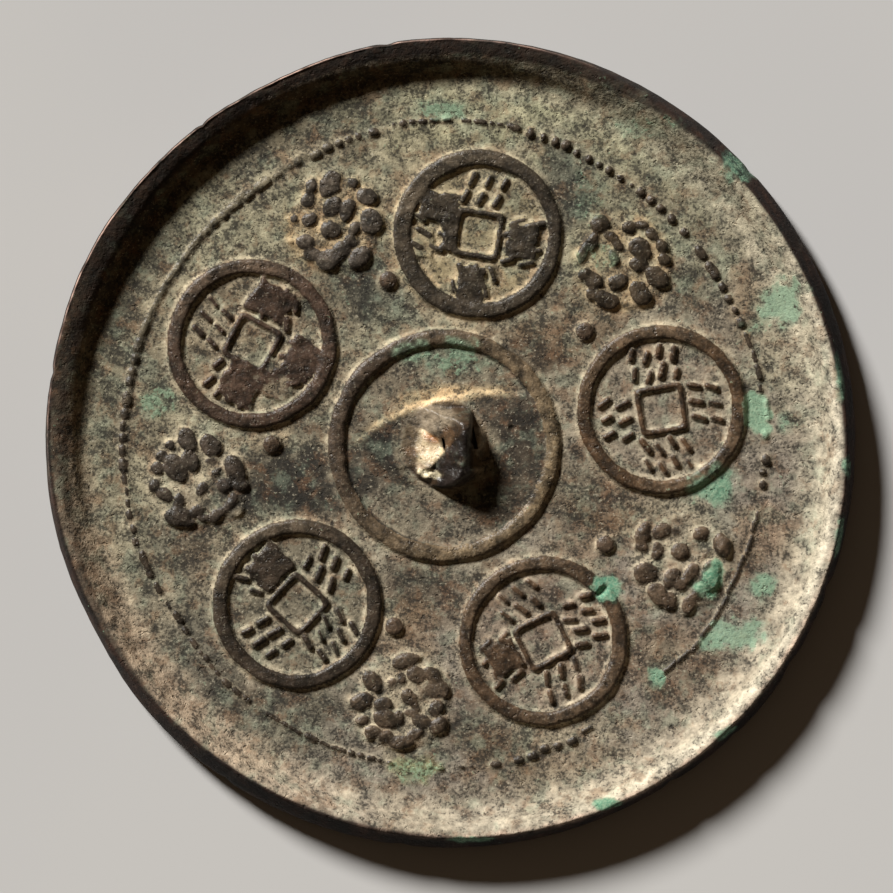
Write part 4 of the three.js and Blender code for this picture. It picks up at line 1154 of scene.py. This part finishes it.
def buriedBronze():
    # Gives the eye a dry, speckled, earthy ground with darker, slightly glossy relief
    material, tree = newMaterial("buried_cast_bronze")
    place = addNode(tree, "ShaderNodeTexCoord").outputs["Object"]

    def noise(size, detail=2.0, rough=0.6, offset=0.0):
        # Cloudy noise of the given size in mm, moved aside so that no two are alike
        shift = {"operation": "ADD", 1: (offset, offset, 0)}
        moved = addNode(tree, "ShaderNodeVectorMath", shift, {0: place})
        settings = {"Scale": 1 / (size * mm), "Detail": detail, "Roughness": rough}
        node = addNode(tree, "ShaderNodeTexNoise", settings, {"Vector": moved.outputs[0]})
        return node.outputs["Fac"]

    def painted(name, output="Fac"):
        # One of the attributes painted on the mesh
        return addNode(tree, "ShaderNodeAttribute", {"attribute_name": name}).outputs[output]

    def between(value, low, high, toLow=0.0, toHigh=1.0):
        # Smoothly from one value to the other as the input goes from low to high
        settings = {"interpolation_type": "SMOOTHSTEP", 1: low, 2: high, 3: toLow, 4: toHigh}
        return addNode(tree, "ShaderNodeMapRange", settings, {"Value": value}).outputs[0]

    def setOrLink(node, socket, value):
        # A plain value is set, another node's output is linked
        if isinstance(value, (int, float, tuple)):
            node.inputs[socket].default_value = value
        else:
            tree.links.new(value, node.inputs[socket])

    def sums(operation, first, second):
        # One step of arithmetic on two numbers
        node = addNode(tree, "ShaderNodeMath", {"operation": operation})
        setOrLink(node, 0, first)
        setOrLink(node, 1, second)
        return node.outputs[0]

    def mix(factor, first, second, blend="MIX"):
        # From the first colour towards the second by the factor
        settings = {"data_type": "RGBA", "blend_type": blend, "clamp_factor": True}
        node = addNode(tree, "ShaderNodeMix", settings)
        for socket, value in ((0, factor), (6, first), (7, second)):
            setOrLink(node, socket, value)
        return node.outputs[2]

    def times(first, second):
        # The product of two numbers
        return sums("MULTIPLY", first, second)

    def fromMiddle(value, gain):
        # How far a noise is from its middle value, times a gain
        return times(sums("SUBTRACT", value, 0.5), gain)

    def barWhere(share, amount):
        # 1, less an amount where the share is high
        return sums("SUBTRACT", 1.0, times(share, amount))

    speck = noise(patina["speckSize"], 2.0, 0.65)
    grain = noise(patina["grainSize"], 3.0, 0.65, 0.3)
    cluster = noise(patina["clusterSize"], 2.0, 0.6, 0.9)
    cloud = noise(patina["cloudSize"], 3.0, 0.6, 0.7)
    earthColour, specks = painted("ground", "Color"), painted("specks")
    # ground, uneven in tone from grain to grain, with brown stains and a grey-green bloom
    shade = sums("ADD", fromMiddle(grain, 2.1), fromMiddle(cluster, 2.0))
    channels = {channel: sums("ADD", shade, 1.0) for channel in range(3)}
    grey = addNode(tree, "ShaderNodeCombineXYZ", {}, channels).outputs[0]
    dusty = between(specks, 0.05, 0.3)
    inStain = between(noise(patina["stainSize"], 3.0, 0.65, 4.1), 0.5, 0.64, 0, 0.65)
    inBloom = between(noise(patina["bloomSize"], 3.0, 0.65, 5.3), 0.5, 0.66, 0, 0.6)
    ground = mix(times(dusty, inStain), earthColour, mix(0.75, earthColour, linear(patina["stain"])))
    ground = mix(times(dusty, inBloom), ground, mix(0.65, earthColour, linear(patina["bloom"])))
    ground = mix(1.0, ground, grey, "MULTIPLY")
    # worn tops, with a ragged edge to the earth around them
    topShare = between(sums("ADD", painted("tops"), fromMiddle(grain, 1.3)), 0.22, 0.66, 0, 0.97)
    topColour = mix(1.0, painted("skin", "Color"), grey, "MULTIPLY")
    topColour = mix(0.5, topColour, grey, "MULTIPLY")
    colour = mix(topShare, ground, topColour)
    # dark specks in clusters, and pale grains
    reach = sums("ADD", speck, times(sums("SUBTRACT", 0.6, specks), 0.16))
    reach = sums("ADD", reach, fromMiddle(cluster, 0.5))
    speckShare = times(between(reach, 0.37, 0.5, 0.72, 0.0), barWhere(topShare, 0.5))
    colour = mix(speckShare, colour, linear(patina["speck"]))
    paleShare = times(between(speck, 0.6, 0.72, 0.0, 0.5), between(specks, 0.05, 0.4))
    colour = mix(times(paleShare, barWhere(topShare, 0.55)), colour, linear(patina["paleGrain"]))
    # ragged crusts of green, paler on their grains
    crust = between(sums("ADD", painted("green"), fromMiddle(grain, 2.2)), 0.42, 0.52, 0, 0.8)
    crustColour = mix(between(speck, 0.42, 0.6, 0.0, 0.7), earthColour, linear(patina["mint"]))
    colour = mix(crust, colour, mix(0.4, crustColour, linear(patina["verdigris"])))
    # polished face below, dulled to a grey-green skin
    faceColour = mix(between(cloud, 0.36, 0.68), linear(patina["face"]), linear(patina["facePale"]))
    colour = mix(painted("face"), colour, faceColour)

    # the skin's own relief: specks, grains and shallow pits
    pits = between(noise(patina["pitSize"], 2.0, 0.6, 3.3), 0.62, 0.72)
    height = sums("SUBTRACT", sums("ADD", times(speck, 0.55), grain), times(pits, 0.8))
    bump = addNode(tree, "ShaderNodeBump", {"Strength": patina["bump"], "Distance": patina["bumpDepth"] * mm},
                   {"Height": height})

    gloss = painted("gloss")
    shader = addNode(tree, "ShaderNodeBsdfPrincipled", {}, {
        "Base Color": colour,
        "Roughness": between(sums("MAXIMUM", topShare, gloss), 0.25, 0.9, 0.85, 0.4),
        "Normal": bump.outputs[0],
        "Specular IOR Level": between(gloss, 0.1, 0.7, 0.3, 0.6),
    })
    addNode(tree, "ShaderNodeOutputMaterial", {}, {"Surface": shader.outputs[0]})
    return material


casting.data.materials.append(buriedBronze())
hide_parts("mirror")
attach(casting, "root")
print("bronze finished")

# Plain pale floor
floor = {"halfSize": 1500, "top": -0.02, "colour": "#bcbdc1", "cloudColour": "#cfcecb"}


def paleFloor():
    # A matt painted board with the faintest unevenness of tone
    material, tree = newMaterial("matt_board")
    place = addNode(tree, "ShaderNodeTexCoord").outputs["Object"]
    cloud = addNode(tree, "ShaderNodeTexNoise", {"Scale": 6, "Detail": 3.0}, {"Vector": place})
    colours = {"data_type": "RGBA", 6: linear(floor["colour"]), 7: linear(floor["cloudColour"])}
    tint = addNode(tree, "ShaderNodeMix", colours, {0: cloud.outputs["Fac"]})
    shader = addNode(tree, "ShaderNodeBsdfPrincipled", {"Roughness": 0.9}, {"Base Color": tint.outputs[2]})
    addNode(tree, "ShaderNodeOutputMaterial", {}, {"Surface": shader.outputs[0]})
    size, top = floor["halfSize"], floor["top"]
    corners = np.array([[-size, -size, top], [size, -size, top], [size, size, top], [-size, size, top]])
    board = newPiece("floor", meshFromArrays("floor", corners, [np.array([[0, 1, 2, 3]])]))
    board.data.materials.append(material)


paleFloor()

# Light from the upper left, low enough to rake the relief, and a camera straight above
light = {
    "bearing": 129, "elevation": 30, "spread": 13, "strength": 5.8, "colour": (1.0, 0.97, 0.92),
    "fill": 0.045, "fillColour": (1.0, 0.68, 0.42, 1),
}
camera = {
    "distance": 1200, "frameWidth": 132.2, "aimX": -0.59, "aimY": -0.56, "sensor": 36, "nearest": 0.05,
    "farthest": 10,
}


def keyLight():
    # A soft sun at its bearing and elevation, and a faint warm fill from all round
    sun = bpy.data.lights.new("key", "SUN")
    sun.energy = light["strength"]
    sun.angle = math.radians(light["spread"])
    sun.color = light["colour"]
    lamp = newPiece("key", sun)
    lamp.rotation_euler = (math.radians(90 - light["elevation"]), 0, math.radians(light["bearing"] + 90))
    world = bpy.data.worlds.new("studio")
    world.use_nodes = True
    background = world.node_tree.nodes["Background"]
    background.inputs["Color"].default_value = light["fillColour"]
    background.inputs["Strength"].default_value = light["fill"]
    bpy.context.scene.world = world


def overheadCamera():
    # Far enough up to be nearly free of perspective; the lens follows from distance and width of view
    lens = bpy.data.cameras.new("overhead")
    lens.sensor_width = camera["sensor"]
    lens.lens = camera["sensor"] * camera["distance"] / camera["frameWidth"]
    lens.clip_start, lens.clip_end = camera["nearest"], camera["farthest"]
    eye = newPiece("overhead", lens)
    height = camera["distance"] + plate["fieldHeight"]
    eye.location = (camera["aimX"] * mm, camera["aimY"] * mm, height * mm)
    bpy.context.scene.camera = eye


keyLight()
overheadCamera()
bpy.context.scene.view_settings.view_transform = "Standard"
print("light and camera set")
